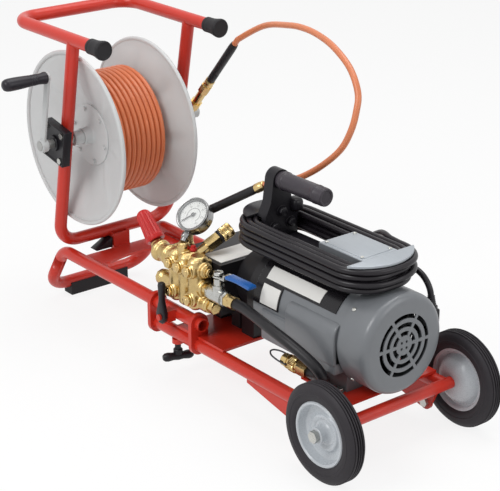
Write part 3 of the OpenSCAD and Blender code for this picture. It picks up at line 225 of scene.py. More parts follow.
def loop_place(u, grow):
    a, b, r = COIL_HALF + grow, COIL_WIDE + grow, COIL_CORNER + grow
    cx, cy, side, v = a - r, b - r, int(u // SIDE) % 4, u % SIDE
    if v < STRAIGHT:
        w = 1 - v
        return [(cx * w, b), (-a, cy * w), (-cx * w, -b), (a, -cy * w)][side]
    turn = math.radians((v - STRAIGHT) * CORNER_STEP)
    s, k = r * math.sin(turn), r * math.cos(turn)
    return [(-cx - s, cy + k), (-cx - k, -cy - s), (cx + s, -cy - k), (cx + k, cy + s)][side]


def coil_place(t):
    layer, share = divmod(t / CORD_TURNS, 1)
    grow = CORD_PITCH * CORD_TURNS * (1 - share if layer % 2 == 0 else share)
    climb = sum(min(1, max(0, (t - k * CORD_TURNS) * 2 + 0.5)) for k in range(1, CORD_LAYERS))
    x, y = loop_place((t * LOOP) % LOOP, grow)
    return Vector((COIL_MID + x, y, COIL_Z + CORD_PITCH * climb))


wound = [coil_place(i / COIL_STEPS) for i in range(CORD_LAYERS * CORD_TURNS * COIL_STEPS + 1)]
coil_start, coil_end = wound[0] + Vector((CORD_D, 0, 0)), wound[-1] - Vector((CORD_D, 0, 0))
print("wound cord", round(route_length(wound), 3), "m")

# %% [markdown]
# The two ends of the cord. One rises from its gland in a quarter circle, so that its bend stays wide.
# The other steps out from the coil first and then sinks to the plug, each by a curve that starts and
# ends gently.

# %% Power cord from gland to plug
GLAND, TAIL_BEND, TAIL_STEPS = Vector((920, 86, 252)), 44, 5
PLUG, TIP_STEPS = coil_end + Vector((-170, 23.4, -50)), 8
LEAVE_COIL, INTO_PLUG, STEP_OUT, SINK_FROM = 6, 20, 1.7, 0.25
ROUTE_STEPS = 6


def ease(s):
    s = min(1, max(0, s))
    return s * s * (3 - 2 * s)


tail_bend, tip_bend = [], []
for k in range(TAIL_STEPS + 1):
    a = math.radians(90 / TAIL_STEPS * k)
    tail_bend.append((GLAND.x - TAIL_BEND * (1 - math.cos(a)),
                      GLAND.y + (coil_start.y - GLAND.y) * k / TAIL_STEPS,
                      coil_start.z - TAIL_BEND * (1 - math.sin(a))))
for k in range(1, TIP_STEPS + 1):
    far = k / TIP_STEPS
    tip_bend.append((coil_end.x - LEAVE_COIL + (PLUG.x + INTO_PLUG - coil_end.x) * far,
                     coil_end.y + (PLUG.y - coil_end.y) * ease(far * STEP_OUT),
                     coil_end.z + (PLUG.z - coil_end.z) * ease((far - SINK_FROM) / (1 - SINK_FROM))))
tail = smooth_route([GLAND] + tail_bend + [coil_start], ROUTE_STEPS)
tip = smooth_route([coil_end] + tip_bend + [PLUG], ROUTE_STEPS)
cord_points = tail + wound + tip
power_cord = tube_line("power_cord", cord_points, CORD_D, cord_jacket, "cart")
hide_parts("cord_coil", "cord_ends")

# %% [markdown]
# The whip hose arches from the swivel on the reel over to the pump. It is stiff enough to stand in
# its arch, as the real one does.

# %% Whip hose
SWIVEL_LEAN, OUTLET_RISE, OUTLET_TURN = math.radians(41), math.radians(31), math.radians(25)
SWIVEL_P, OUTLET_P = Vector((124.096, 165.2, 388)), Vector((420, -60, 289.7))
SWIVEL_WAY = Vector((math.sin(SWIVEL_LEAN), 0, math.cos(SWIVEL_LEAN)))
OUTLET_WAY = Vector((math.cos(OUTLET_RISE) * math.cos(OUTLET_TURN),
                     math.cos(OUTLET_RISE) * math.sin(OUTLET_TURN), math.sin(OUTLET_RISE)))
WHIP_D, WHIP_STRAIGHT, SWIVEL_REACH, OUTLET_REACH, SLEEVE_L = 12, 14, 233, 170, 125
whip_points = smooth_route(
    [SWIVEL_P + SWIVEL_WAY * SWIVEL_REACH, SWIVEL_P + SWIVEL_WAY * (SWIVEL_REACH + WHIP_STRAIGHT),
     (365, 168, 617), (455, 152, 638), (510, 142, 645), (565, 130, 645), (625, 115, 637), (685, 100, 614),
     (720, 88, 580), (730, 76, 550), (728, 66, 516), (707, 62, 478), (664, 57, 438), (622, 46, 408),
     (588, 30, 392), OUTLET_P + OUTLET_WAY * (OUTLET_REACH + WHIP_STRAIGHT),
     OUTLET_P + OUTLET_WAY * OUTLET_REACH], ROUTE_STEPS)
whip_run = tube_line("whip_hose_run", whip_points, WHIP_D, whip_orange, "cart")
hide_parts("whip_hose")

# %% [markdown]
# The inlet hose leaves the valve, dips beside the motor and turns back to its brass coupling, which
# rests on the motor plate.

# %% Inlet hose
INLET_D = 20
INLET_P, INLET_STRAIGHT = Vector((631, -113, 204.7)), Vector((22, 0, 0))
TAIL_P, TAIL_STRAIGHT = Vector((794, -78, 122)), Vector((20, 0, 0))
inlet_points = smooth_route(
    [INLET_P, INLET_P + INLET_STRAIGHT, (700, -120, 204), (745, -126, 201), (790, -126, 193),
     (826, -121, 180), (852, -114, 164), (860, -106, 146), (848, -96, 130), TAIL_P + TAIL_STRAIGHT,
     TAIL_P], ROUTE_STEPS)
inlet_run = tube_line("inlet_hose_run", inlet_points, INLET_D, black_hose, "cart", 8)
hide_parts("inlet_hose")

# %% [markdown]
# Workshop helpers. A lathe, a block with rounded edges and a hexagon bar make most of the hardware.
# Each is drawn in millimetres along its own Z, then moved to its place in the frame.


# %% Lathe, block and hexagon
def spot(origin, axis):
    turn = Vector(axis).to_track_quat("Z", "X").to_matrix().to_4x4()
    return Matrix.Translation(Vector(origin) * MM) @ turn @ Matrix.Scale(MM, 4)


HERE = Matrix.Scale(MM, 4)


def moved(shape, matrix):
    bmesh.ops.transform(shape, matrix=matrix, verts=shape.verts)
    return shape


def turned(profile, steps, closed=True):
    shape = bmesh.new()
    dots = [shape.verts.new((r, 0, h)) for r, h in profile]
    pairs = list(zip(dots, dots[1:])) + ([(dots[-1], dots[0])] if closed else [])
    edges = [shape.edges.new(pair) for pair in pairs]
    bmesh.ops.spin(shape, geom=dots + edges, cent=(0, 0, 0), axis=(0, 0, 1), angle=2 * math.pi,
                   steps=steps, use_merge=True)
    bmesh.ops.remove_doubles(shape, verts=shape.verts, dist=1e-4)
    bmesh.ops.recalc_face_normals(shape, faces=shape.faces)
    return shape


def rounded(shape, width, segments, edges=None):
    bmesh.ops.bevel(shape, geom=edges or shape.edges[:], offset=width, offset_type="OFFSET",
                    segments=segments, profile=0.5, affect="EDGES", material=-1, clamp_overlap=True)
    return shape


def block(low, high, edge, segments=3):
    shape = bmesh.new()
    bmesh.ops.create_cube(shape, size=1)
    low, high = Vector(low), Vector(high)
    bmesh.ops.scale(shape, vec=high - low, verts=shape.verts)
    bmesh.ops.translate(shape, vec=(low + high) / 2, verts=shape.verts)
    return rounded(shape, edge, segments) if edge else shape


def hex_bar(r, h0, h1, edge=0.7):
    shape = bmesh.new()
    bmesh.ops.create_cone(shape, cap_ends=True, segments=6, radius1=r, radius2=r, depth=h1 - h0)
    bmesh.ops.translate(shape, vec=(0, 0, (h0 + h1) / 2), verts=shape.verts)
    return rounded(shape, edge, 2)


def rod(r, h0, h1, edge, steps):
    return turned([(0, h0), (r - edge, h0), (r, h0 + edge), (r, h1 - edge), (r - edge, h1), (0, h1)],
                  steps, False)


def gathered(*shapes):
    whole = bmesh.new()
    for shape in shapes:
        part = bpy.data.meshes.new("part")
        shape.to_mesh(part)
        shape.free()
        whole.from_mesh(part)
        bpy.data.meshes.remove(part)
    return whole


def put(name, shape, paint, body, stands_for=(), sharp=38):
    mesh = bpy.data.meshes.new(name)
    shape.to_mesh(mesh)
    shape.free()
    mesh.polygons.foreach_set("use_smooth", [True] * len(mesh.polygons))
    mesh.set_sharp_from_angle(angle=math.radians(sharp))
    mesh.materials.append(paint)
    piece = bpy.data.objects.new(name, mesh)
    bpy.context.scene.collection.objects.link(piece)
    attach(piece, body)
    if stands_for:
        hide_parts(*stands_for)
    print(name, len(mesh.polygons), "faces")


# %% [markdown]
# Solids that are already right keep their shape. A small node group shades their round faces
# smoothly and keeps their corners crisp. A merge of their vertices would do it too, but the meshes of
# the frame are left alone.

# %% Smooth shading for the solids
WELD, CRISP_FROM = 1e-5, math.radians(32)
soften = bpy.data.node_groups.new("crisp_corners", "GeometryNodeTree")
soften.interface.new_socket("Geometry", in_out="INPUT", socket_type="NodeSocketGeometry")
soften.interface.new_socket("Geometry", in_out="OUTPUT", socket_type="NodeSocketGeometry")
enter, leave = soften.nodes.new("NodeGroupInput"), soften.nodes.new("NodeGroupOutput")
merge = soften.nodes.new("GeometryNodeMergeByDistance")
merge.inputs["Distance"].default_value = WELD
faces = soften.nodes.new("GeometryNodeSetShadeSmooth")
corners = soften.nodes.new("GeometryNodeSetShadeSmooth")
corners.domain = "EDGE"
corners.inputs["Shade Smooth"].default_value = False
angle = soften.nodes.new("GeometryNodeInputMeshEdgeAngle")
sharp = soften.nodes.new("FunctionNodeCompare")
sharp.operation = "GREATER_THAN"
sharp.inputs["B"].default_value = CRISP_FROM
for a, b in ((enter.outputs[0], merge.inputs["Geometry"]), (merge.outputs[0], faces.inputs["Geometry"]),
             (faces.outputs[0], corners.inputs["Geometry"]),
             (angle.outputs["Unsigned Angle"], sharp.inputs["A"]),
             (sharp.outputs[0], corners.inputs["Selection"]), (corners.outputs[0], leave.inputs[0])):
    soften.links.new(a, b)


def dress(paint, *names):
    for name in names:
        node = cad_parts[name]
        node.material_slots[0].material = paint
        node.modifiers.new("crisp_corners", "NODES").node_group = soften


# %% Finishes of the solids
dress(red_paint, "front_frame", "base_plates", "rear_frame", "saddle_plate", "reel_stand", "handle_bar")
dress(black_rubber, "foot_rubber")
dress(black_moulding, "handle_bracket", "switch_rocker", "cord_plug")
dress(zinc_steel, "axle_pins", "bolts", "valve_stem")
dress(shaft_steel, "reel_shaft", "swivel_body")
dress(fan_black, "rotor")
dress(reel_enamel, "drum_core")
dress(turned_brass, "swivel_elbow", "brass_fittings", "inlet_coupling")
dress(nickel_plate, "valve_body")
dress(motor_enamel, "motor_shell", "fan_cover", "switch_box")
dress(pump_black, "end_bell", "crankcase")
dress(panel_black, "wrap_panel")
dress(white_plate, "blank_plates")
dress(ceramic_white, "plungers")
dress(dial_ink, "gauge_needle")
dress(winding_iron, "stator")

# %% [markdown]
# Wheels. Semi-pneumatic tyres have ribs round the tread, so the lathe profile carries three grooves
# and a raised ring on the side wall. The pressed wheel bulges towards the axle and is hollow outside,
# with a raised ring round its boss. All of it is round, so one spun profile each is enough.

# %% Tyres and wheels
TYRE_SIDE = [(58.3, 174), (62, 177), (66, 178), (70, 178), (70.6, 178.7), (73, 178.7), (73.6, 178),
             (79, 177.4), (84, 175), (87.2, 171.6)]
RIBS = [(170.6, 167.0), (165.0, 161.8), (160.2, 157.0), (155.0, 151.4)]
TYRE_MID = 161
RIB_FOOT, RIB_EDGE, RIB_TOP = 84.6, 88, 89


def tyre_profile():
    tread = [dot for a, b in RIBS for dot in
             ((RIB_FOOT, a), (RIB_EDGE, a - 0.2), (RIB_TOP, a - 0.8), (RIB_TOP, b + 0.8),
              (RIB_EDGE, b + 0.2), (RIB_FOOT, b))]
    other = [(r, 2 * TYRE_MID - h) for r, h in reversed(TYRE_SIDE)]
    return TYRE_SIDE + tread + other


WHEEL = [(8.1, 135), (17, 135), (23, 135.6), (31, 138), (38, 142.4), (43, 148), (46, 153),
         (48, 155.2), (50, 154.8), (53, 150), (57.9, 148.3), (57.9, 174.2), (56.4, 176), (53.6, 176),
         (52, 174.4), (50.6, 166), (48, 160.5),
         (44, 158.4), (37, 158), (34, 159.6), (31.6, 163.4), (28.6, 164.6), (25.4, 163.6), (22.6, 161.4),
         (19, 161.6), (16, 164), (14.4, 169), (13.8, 179), (12.8, 180), (8.1, 180)]
AXLE = (930, 0, 89)
for side, way in (("near", (0, -1, 0)), ("far", (0, 1, 0))):
    put(f"tyre_{side}_ribbed", moved(turned(tyre_profile(), 96), spot(AXLE, way)), tyre_rubber,
        f"{side}_wheel", [f"tyre_{side}"], 30)
    put(f"wheel_{side}_pressed", moved(turned(WHEEL, 72), spot(AXLE, way)), wheel_enamel,
        f"{side}_wheel", [f"wheel_{side}"], 34)

# %% [markdown]
# Reel flanges. A sheet is pressed into a shallow cone with soft radial flutes, and its rim is rolled.
# Flutes laid on as pieces of their own would show a seam. So the lathe makes the cone and the rim, and
# then each point near a flute is moved along the axis.

# %% Flanges
REEL = (124.096, 0, 388)
FLUTES, FLUTE_DEPTH, FLUTE_HALF, FLUTE_FROM, FLUTE_TO = 8, 4.5, math.radians(10), 62, 155
SHEET, BEAD_AT, BEAD_R, BEAD_OUT = 2.5, 171.5, 4.4, 0.8
CONE = [(9.8, 0), (30, 0), (56, 0), (61, 0.2), (66, 1.6), (90, 10.8), (115, 20.4), (140, 30),
        (156, 36.1), (163, 38.6), (167, 39.4)]


def flange_shape(hub, out):
    s = 1 if out > hub else -1
    bead = [(BEAD_AT + BEAD_R * math.cos(a), out + BEAD_OUT * s + BEAD_R * s * math.sin(a))
            for a in (math.radians(d) for d in range(-140, 161, 20))]
    inner = [(r, hub + h * s) for r, h in CONE]
    outer = [(r, h + SHEET * s) for r, h in reversed(inner)]
    shape = turned(inner + bead + outer, 160)
    for dot in shape.verts:
        r, a = math.hypot(dot.co.x, dot.co.y), math.atan2(dot.co.y, dot.co.x)
        step = 2 * math.pi / FLUTES
        off = abs((a + step / 2) % step - step / 2)
        if FLUTE_FROM < r < FLUTE_TO and off < FLUTE_HALF:
            along = math.sin(math.pi * (r - FLUTE_FROM) / (FLUTE_TO - FLUTE_FROM)) ** 0.6
            dot.co.z += s * FLUTE_DEPTH * along * math.cos(off / FLUTE_HALF * math.pi / 2) ** 2
    return moved(shape, spot(REEL, (0, 1, 0)))


for side, hub, out in (("near", -75, -117), ("far", 9, 51)):
    put(f"flange_{side}_pressed", flange_shape(hub, out), reel_enamel, "reel", [f"flange_{side}_disc"],
        40)

# %% [markdown]
# Hub plates hold the flanges to the shaft, each with six painted bolts, and a plain sleeve fills the
# way from the near hub to its upright. The crank is a flat bar with a boss on the shaft. They are
# gathered from lathe work, hexagon bars and a block, because the real ones are made of such stock.

# %% Hub plates and sleeve
SPACER = [(9.6, 0), (13.4, 0), (14.2, 0.8), (14.2, 20), (9.6, 20)]
HUB = [(9.6, 0), (62, 0), (62, 3), (61, 4), (24, 4), (19, 6), (17.6, 8), (17, 23), (16, 24), (9.6, 24)]
HUB_BOLTS, BOLT_TURN, BOLT_RING, PLATE_TOP = 6, 15, 54, 4
hubs = [moved(turned(SPACER, 48), spot((REEL[0], -102, REEL[2]), (0, -1, 0)))]
for start, way in ((11.5, 1), (-77.5, -1)):
    place = spot((REEL[0], start, REEL[2]), (0, way, 0))
    hubs.append(moved(turned(HUB, 72), place))
    for k in range(HUB_BOLTS):
        a = math.radians(360 / HUB_BOLTS * k + BOLT_TURN)
        seat = place @ Matrix.Translation((BOLT_RING * math.cos(a), BOLT_RING * math.sin(a), PLATE_TOP))
        hubs += [moved(rod(6, 0, 1, 0.3, 24), seat), moved(hex_bar(4.4, 1, 4.4), seat)]
put("reel_hubs", gathered(*hubs), reel_enamel, "reel", ["hub_plates"])

# %% Crank
STAND_LEAN, CRANK_R = math.radians(11), 146
BOSS = [(9.6, 183), (12.4, 183), (13.2, 184), (13.2, 195), (12, 197), (9.6, 197.4)]
FORWARD = Matrix.Rotation(math.radians(90), 4, "X")
CRANK_TURN = Matrix.Translation(Vector(REEL) * MM) @ Matrix.Rotation(STAND_LEAN, 4, "Y") @ HERE
CRANK_END = CRANK_TURN @ Matrix.Translation((0, 0, CRANK_R)) @ FORWARD
crank = [moved(turned(BOSS, 48), CRANK_TURN @ FORWARD),
         moved(block((-7, -193, 8), (7, -187, CRANK_R), 1.6), CRANK_TURN),
         moved(rod(10, 187, 193, 1.2, 36), CRANK_END), moved(rod(5, 188, 283.6, 0.6, 28), CRANK_END)]
put("crank_bar", gathered(*crank), crank_enamel, "reel", ["crank_arm"])

# %% [markdown]
# The jetting hose lies in five layers, wound to and fro across the drum. One line makes all of it,
# from the drum out to the nozzle at the back. Separate rings would be simpler, but then no loop would
# run on into the next.

# %% Wound hose
HOSE_D, WIND_MID, WIND_PITCH = 11, -33, 11.6
LAYERS = [(73.9, 7), (85.3, 8), (96.7, 8), (108.1, 9), (119.5, 9)]
LAYER_RISE, LIFT_TURN, LAST_SHORT, WIND_STEPS = 11.4, 0.3, 0.25, 40
hose_points, turn = [], 0.0
for layer, (radius, loops) in enumerate(LAYERS):
    way, last = 1 if layer % 2 == 0 else -1, layer == len(LAYERS) - 1
    turns = loops - LAST_SHORT if last else loops
    for i in range(int(turns * WIND_STEPS) + 1):
        t = i / WIND_STEPS
        lift = min(1, (loops - t) / LIFT_TURN) if t > loops - LIFT_TURN and not last else 1
        r = radius + (1 - lift) * LAYER_RISE
        y = WIND_MID + way * WIND_PITCH * (t - loops / 2)
        a = 2 * math.pi * (turn + t)
        hose_points.append((REEL[0] + r * math.sin(a), y, REEL[2] - r * math.cos(a)))
    turn += turns
hose_end = Vector(hose_points[-1])
hose_way = (hose_end - Vector(hose_points[-2])).normalized()
jet_wound = tube_line("jet_hose_wound", hose_points, HOSE_D, orange_hose, "reel", 4)
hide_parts("jet_hose", "hose_core")

# %% Nozzle on the free end
NOZZLE = [(0, -12), (7.2, -12), (7.6, -11), (7.6, 4), (6.6, 6), (6.6, 20), (5.4, 28), (3.4, 33), (0, 34)]
put("jet_nozzle", moved(turned(NOZZLE, 40, False), spot(hose_end, hose_way)), turned_brass, "reel", ())

# %% [markdown]
# Handles. The crank grip is a tapered moulding with a few rings and a domed end, and the caps on the
# handle bar are rubber bulbs. Each is a closed profile with its bore, spun once.

# %% Crank grip and end caps
CRANK = (151.954, 0, 531.318)
grip = [(5.1, 193.4), (10.6, 193.4), (11.8, 194.6), (12, 199), (11, 202), (10.4, 208), (10.6, 214)]
for k in range(3):
    h = 216 + k * 5
    grip += [(10.8, h), (10, h + 0.8), (10, h + 1.8), (10.9, h + 2.6)]
grip += [(11.6, 240), (12.3, 254), (12.5, 264), (12.5, 274), (11.8, 280), (9.8, 284.6), (6.4, 287),
         (0, 287.8), (0, 284), (5.1, 284)]
put("crank_grip_moulded", moved(turned(grip, 56), spot(CRANK, (0, -1, 0))), grip_vinyl, "crank_handle",
    ["crank_grip"])
CAP = [(12.9, 0), (14.6, 0), (15.2, 1), (15.2, 8), (14.9, 9), (15.2, 10), (15.4, 18), (16.4, 27),
       (18, 35), (18.8, 39.4), (18.7, 42.4), (17.6, 44.3), (15.6, 44.6), (14.8, 43.6), (9, 43.2),
       (0, 43.2), (0, 38), (12.9, 38)]
bar_caps = [moved(turned(CAP, 56), spot((226, y, 598), (1, 0, 0))) for y in (-136.5, 136.5)]
put("handle_caps", gathered(*bar_caps), black_rubber, "cart", ["end_caps"])

# %% [markdown]
# Bearing blocks are moulded plates that lean with the uprights. Each is drawn square, with rounded
# edges, a raised rim and a hub round the shaft. Two insets of the front face make the rim, so that no
# second plate has to be laid on.

# %% Bearing blocks
STAND_FOOT, PLATE_HALF = Vector((79, 0, 156)), 37
LEAN = Matrix.Translation(STAND_FOOT * MM) @ Matrix.Rotation(STAND_LEAN, 4, "Y") @ HERE
AXIS_L = (REEL[2] - STAND_FOOT.z) / math.cos(STAND_LEAN)
blocks = []
for low, high in ((-168, -149.6), (105, 123.4)):
    plate = block((-PLATE_HALF, low, AXIS_L - PLATE_HALF), (PLATE_HALF, high, AXIS_L + PLATE_HALF), 0)
    for width, depth in ((4.5, 0), (1.6, -2.8)):
        front = min(plate.faces, key=lambda f: f.calc_center_median().y + 0.001 / f.calc_area())
        bmesh.ops.inset_region(plate, faces=[front], thickness=width, depth=depth)
    ring = moved(turned([(9.7, 0), (15, 0), (16, 1), (16, 5), (9.7, 5)], 48),
                 Matrix.Translation((0, low - 1, AXIS_L)) @ Matrix.Rotation(math.radians(-90), 4, "X"))
    blocks += [moved(rounded(plate, 0.9, 2), LEAN), moved(ring, LEAN)]
put("bearing_plates", gathered(*blocks), black_moulding, "cart", ["bearing_blocks"])

# %% [markdown]
# Bend sleeves keep the whip hose from kinking at its fittings, and a brass ferrule is pressed on each.
# They are spun, and stand on the two directions in which the hose leaves its fittings.

# %% Bend sleeves and ferrules
SLEEVE = [(0, 0), (8.0, 0), (8.6, 1), (8.6, 30)]
SLEEVE += [(8.2, 31), (8.2, 33), (8.5, 34), (8.5, 110), (8.1, 120), (7.2, 125), (0, 125)]
FERRULE = [(0, -16), (9.2, -16), (9.8, -15), (9.8, -9), (9.2, -8), (9.2, -5), (9.8, -4), (9.8, 4),
           (9.2, 5), (0, 5)]
TIP = [(6.1, -4), (9.1, -4), (9.3, -3), (9.3, 8), (8.4, 10), (8.4, 15), (7.4, 16), (6.1, 16)]
sleeve_places = [spot(SWIVEL_P + SWIVEL_WAY * (SWIVEL_REACH - SLEEVE_L), SWIVEL_WAY),
                 spot(OUTLET_P + OUTLET_WAY * (OUTLET_REACH - SLEEVE_L), OUTLET_WAY)]
tip_place = spot(OUTLET_P + OUTLET_WAY * OUTLET_REACH, OUTLET_WAY)
put("bend_sleeves", gathered(*(moved(turned(SLEEVE, 40, False), p) for p in sleeve_places)), black_hose,
    "cart", ["whip_sleeves"])
put("hose_ferrules", gathered(*(moved(turned(FERRULE, 40, False), p) for p in sleeve_places),
                              moved(turned(TIP, 40), tip_place)), turned_brass, "cart", ())

# %% [markdown]
# The pump manifold is a brass sand casting: a body with three valve columns and bosses for its caps,
# all with soft corners. Plain shapes are laid into each other, a voxel remesh fuses them into one
# skin, and smoothing rounds its inner corners as a casting's are.

# %% Lumps of the manifold
COLUMNS = (466, 495, 524)
CAP_SEATS = [(x, 238.7) for x in COLUMNS] + [(x, 182.7) for x in (COLUMNS[0], COLUMNS[2])]
SIDEWAYS, UPRIGHT = Matrix.Rotation(math.radians(90), 4, "Y"), Matrix.Identity(4)
KNOB_WAY = Vector((-math.sqrt(0.5), 0, math.sqrt(0.5)))
KNOB_AXIS = KNOB_WAY.to_track_quat("Z", "X").to_matrix().to_4x4()
UPPER_PORT, LOWER_PORT, KNOB_SEAT = (0, -113, 236.7), (0, -113, 184.7), (404, -113, 236.7)
GAUGE_SEAT, RELIEF_SEAT = (484.7, -119.7, 0), (501, -109, 0)
FITTINGS = [(UPPER_PORT, SIDEWAYS, 17, 396, 455), (UPPER_PORT, SIDEWAYS, 21, 398, 410),
            (UPPER_PORT, SIDEWAYS, 20, 426, 437), (KNOB_SEAT, KNOB_AXIS, 15, -8, 14),
            (KNOB_SEAT, KNOB_AXIS, 13, 0, 21.4), (LOWER_PORT, SIDEWAYS, 14, 412, 455),
            (LOWER_PORT, SIDEWAYS, 17, 410, 420), ((0, -113, 176.7), SIDEWAYS, 16, 536, 556),
            ((0, -113, 240), SIDEWAYS, 14, 530, 549), ((0, -113, 204.7), SIDEWAYS, 17, 532, 546),
            (GAUGE_SEAT, UPRIGHT, 10.5, 255, 281), (RELIEF_SEAT, UPRIGHT, 10, 255, 266)]
lumps = [block((451, -126, 162), (539, -92.4, 258), 6), block((448, -129, 199), (542, -93, 209), 3)]
lumps += [moved(rod(14, 161, 262, 6, 32), Matrix.Translation((x, -122.5, 0))) for x in COLUMNS]
lumps += [moved(rod(15.5, 252, 264, 3, 36), Matrix.Translation((x, -113, 0))) for x in (468, 495, 522)]
lumps += [moved(rod(15, 126, 138, 3, 32), Matrix.Translation((x, 0, z)) @ FORWARD) for x, z in CAP_SEATS]
lumps += [moved(rod(r, a, b, 2.4, 40), Matrix.Translation(at) @ turn) for at, turn, r, a, b in FITTINGS]

# %% Fusing and smoothing the casting
VOXEL, SMOOTHINGS = 1.3, 3
rough = bpy.data.objects.new("rough_casting", bpy.data.meshes.new("rough_casting"))
shape = gathered(*lumps)
shape.to_mesh(rough.data)
shape.free()
bpy.context.scene.collection.objects.link(rough)
fuse = rough.modifiers.new("fuse", "REMESH")
fuse.mode, fuse.voxel_size = "VOXEL", VOXEL
fused = bpy.data.meshes.new_from_object(rough.evaluated_get(bpy.context.evaluated_depsgraph_get()))
bpy.data.objects.remove(rough)
casting = bmesh.new()
casting.from_mesh(fused)
bpy.data.meshes.remove(fused)
for _ in range(SMOOTHINGS):
    bmesh.ops.smooth_vert(casting, verts=casting.verts, factor=0.5, use_axis_x=True, use_axis_y=True,
                          use_axis_z=True)
put("manifold_casting", moved(casting, HERE), cast_brass_tone_and_shade, "cart", ["manifold"], 70)

# %% [markdown]
# Valve caps screw into the casting. Each has a round flange and a hexagon with chamfered edges. Only
# their sizes differ, so one function makes them all.


# %% Valve caps
def valve_cap(origin, way, wide, flange, hexagon, reach):
    return [moved(part, spot(origin, way)) for part in
            (rod(wide, 0, flange, 0.8, 40), hex_bar(hexagon, flange, reach, 1.0),
             rod(hexagon * 0.55, reach, reach + 0.6, 0.3, 28))]


caps = []
for x, z in CAP_SEATS:
    caps += valve_cap((x, -137.6, z), (0, -1, 0), 13, 3.4, 10.6, 8.8)
caps += valve_cap((556, -113, 176.7), (1, 0, 0), 15, 5, 13.5, 18)
caps += valve_cap((410, -113, 184.7), (-1, 0, 0), 15, 5, 11.5, 11)
caps += valve_cap((549, -113, 240), (1, 0, 0), 11, 3, 9, 8)
SEAT_TOP = 266
caps += [moved(hex_bar(13, 0, 9, 1), spot((*GAUGE_SEAT[:2], SEAT_TOP), (0, 0, 1)))]
put("valve_cap_hexes", gathered(*caps), turned_brass, "cart", ["valve_caps"])
relief = gathered(rod(6.4, 0, 6, 1, 32), hex_bar(5.4, 6, 10))
put("relief_cap", moved(relief, spot((*RELIEF_SEAT[:2], SEAT_TOP), (0, 0, 1))), knob_red, "cart", ())

# %% [markdown]
# The unloader knob sets the pressure. It tapers to a dome and is fluted for wet hands, so the lathe
# shape has its points drawn in between the flutes.

# %% Unloader knob
KNOB_FLUTES, KNOB_DEPTH, KNOB_DOME, KNOB_SKIRT = 15, 0.12, 9, 30.5
KNOB = [(5.1, 22), (18, 22), (18.4, 23), (18.4, 29), (17.6, 30)]
KNOB += [(17.6 - 3.4 * k / 6, 31 + 44 * k / 6) for k in range(7)]
KNOB += [(13.4, 79), (11.4, 83), (7.5, 85.6), (0, 86), (0, 80), (5.1, 80)]
knob = turned(KNOB, 120)
for dot in knob.verts:
    r, a = math.hypot(dot.co.x, dot.co.y), math.atan2(dot.co.y, dot.co.x)
    if r > KNOB_DOME and dot.co.z > KNOB_SKIRT:
        pull = 1 - KNOB_DEPTH * (0.5 - 0.5 * math.cos(KNOB_FLUTES * a)) ** 0.8
        dot.co.x, dot.co.y = dot.co.x * pull, dot.co.y * pull
put("unloader_knob_fluted", moved(knob, spot(KNOB_SEAT, KNOB_WAY)), knob_red, "pressure_knob",
    ["unloader_knob"], 30)

# %% [markdown]
# The gauge has a plated case with a rolled bezel, a white dial with a plain scale, and a glass.
# Its hand is the solid from the frame, because it turns. The figures start as text, which is made a
# mesh before it is placed.

# %% Gauge case and dial
GAUGE_AT, GAUGE_TURN, GAUGE_TIP = Vector((479, -95, 328.7)), math.radians(13), math.radians(46)
GAUGE = (Matrix.Translation(GAUGE_AT * MM) @ Matrix.Rotation(GAUGE_TURN, 4, "Z")
         @ Matrix.Rotation(GAUGE_TIP, 4, "X") @ HERE)
CASE = [(0, -28), (28, -28), (31, -26.6), (32.4, -24), (32.4, -8.4), (33.4, -7.6), (34, -6), (34, -2.4),
        (33.4, -0.6), (32.2, 0.4), (30.8, 0), (29.9, -1.2), (29.8, -7), (0, -7)]
DIAL = [(0, -6.9), (29.7, -6.9), (29.7, -6.6), (0, -6.6)]
stem = moved(gathered(hex_bar(9, 35, 45), rod(6, 28, 51.8, 0.4, 32)),
             Matrix.Translation((0, 0, -14)) @ FORWARD)
put("gauge_shell", gathered(moved(turned(CASE, 72, False), GAUGE), moved(stem, GAUGE)), gauge_steel, "cart",
    ["gauge_case"])
put("gauge_dial", moved(turned(DIAL, 64, False), GAUGE), dial_white, "cart", ())

# %% Gauge scale and hub
DIAL_START, DIAL_STEP, DIAL_TOP, DIAL_FIVE = 225, 9, 30, 5
FIGURE_SIZE, FIGURE_RING = 5.6, 19.4
marks = []
for k in range(DIAL_TOP + 1):
    start, half = (23.6, 0.5) if k % DIAL_FIVE == 0 else (25.4, 0.3)
    tick = block((start, -half, -6.6), (28, half, -6.45), 0)
    marks.append(moved(tick, GAUGE @ Matrix.Rotation(math.radians(DIAL_START - DIAL_STEP * k), 4, "Z")))
for k in range(0, DIAL_TOP + 1, DIAL_FIVE):
    words = bpy.data.curves.new("figure", "FONT")
    words.body, words.size, words.align_x, words.align_y = str(k), FIGURE_SIZE, "CENTER", "CENTER"
    figure = bpy.data.objects.new("figure", words)
    flat = bmesh.new()
    flat.from_mesh(figure.to_mesh())
    bpy.data.objects.remove(figure)
    a = math.radians(DIAL_START - DIAL_STEP * k)
    place = Matrix.Translation((FIGURE_RING * math.cos(a), FIGURE_RING * math.sin(a), -6.5))
    marks.append(moved(flat, GAUGE @ place))
for inner, outer, sweep in ((27.7, 29.7, 360), (13.4, 14.4, 270)):
    arc = bmesh.new()
    ends = [arc.verts.new((r, 0, -6.4)) for r in (inner, outer)]
    bmesh.ops.spin(arc, geom=ends + [arc.edges.new(ends)], cent=(0, 0, 0), axis=(0, 0, 1),
                   angle=math.radians(sweep), steps=72, use_merge=sweep == 360)
    marks.append(moved(arc, GAUGE @ Matrix.Rotation(math.radians(-45), 4, "Z")))
marks.append(moved(rod(2.4, -7, -3, 0.3, 24), GAUGE))
put("gauge_scale", gathered(*marks), dial_ink, "cart", ())

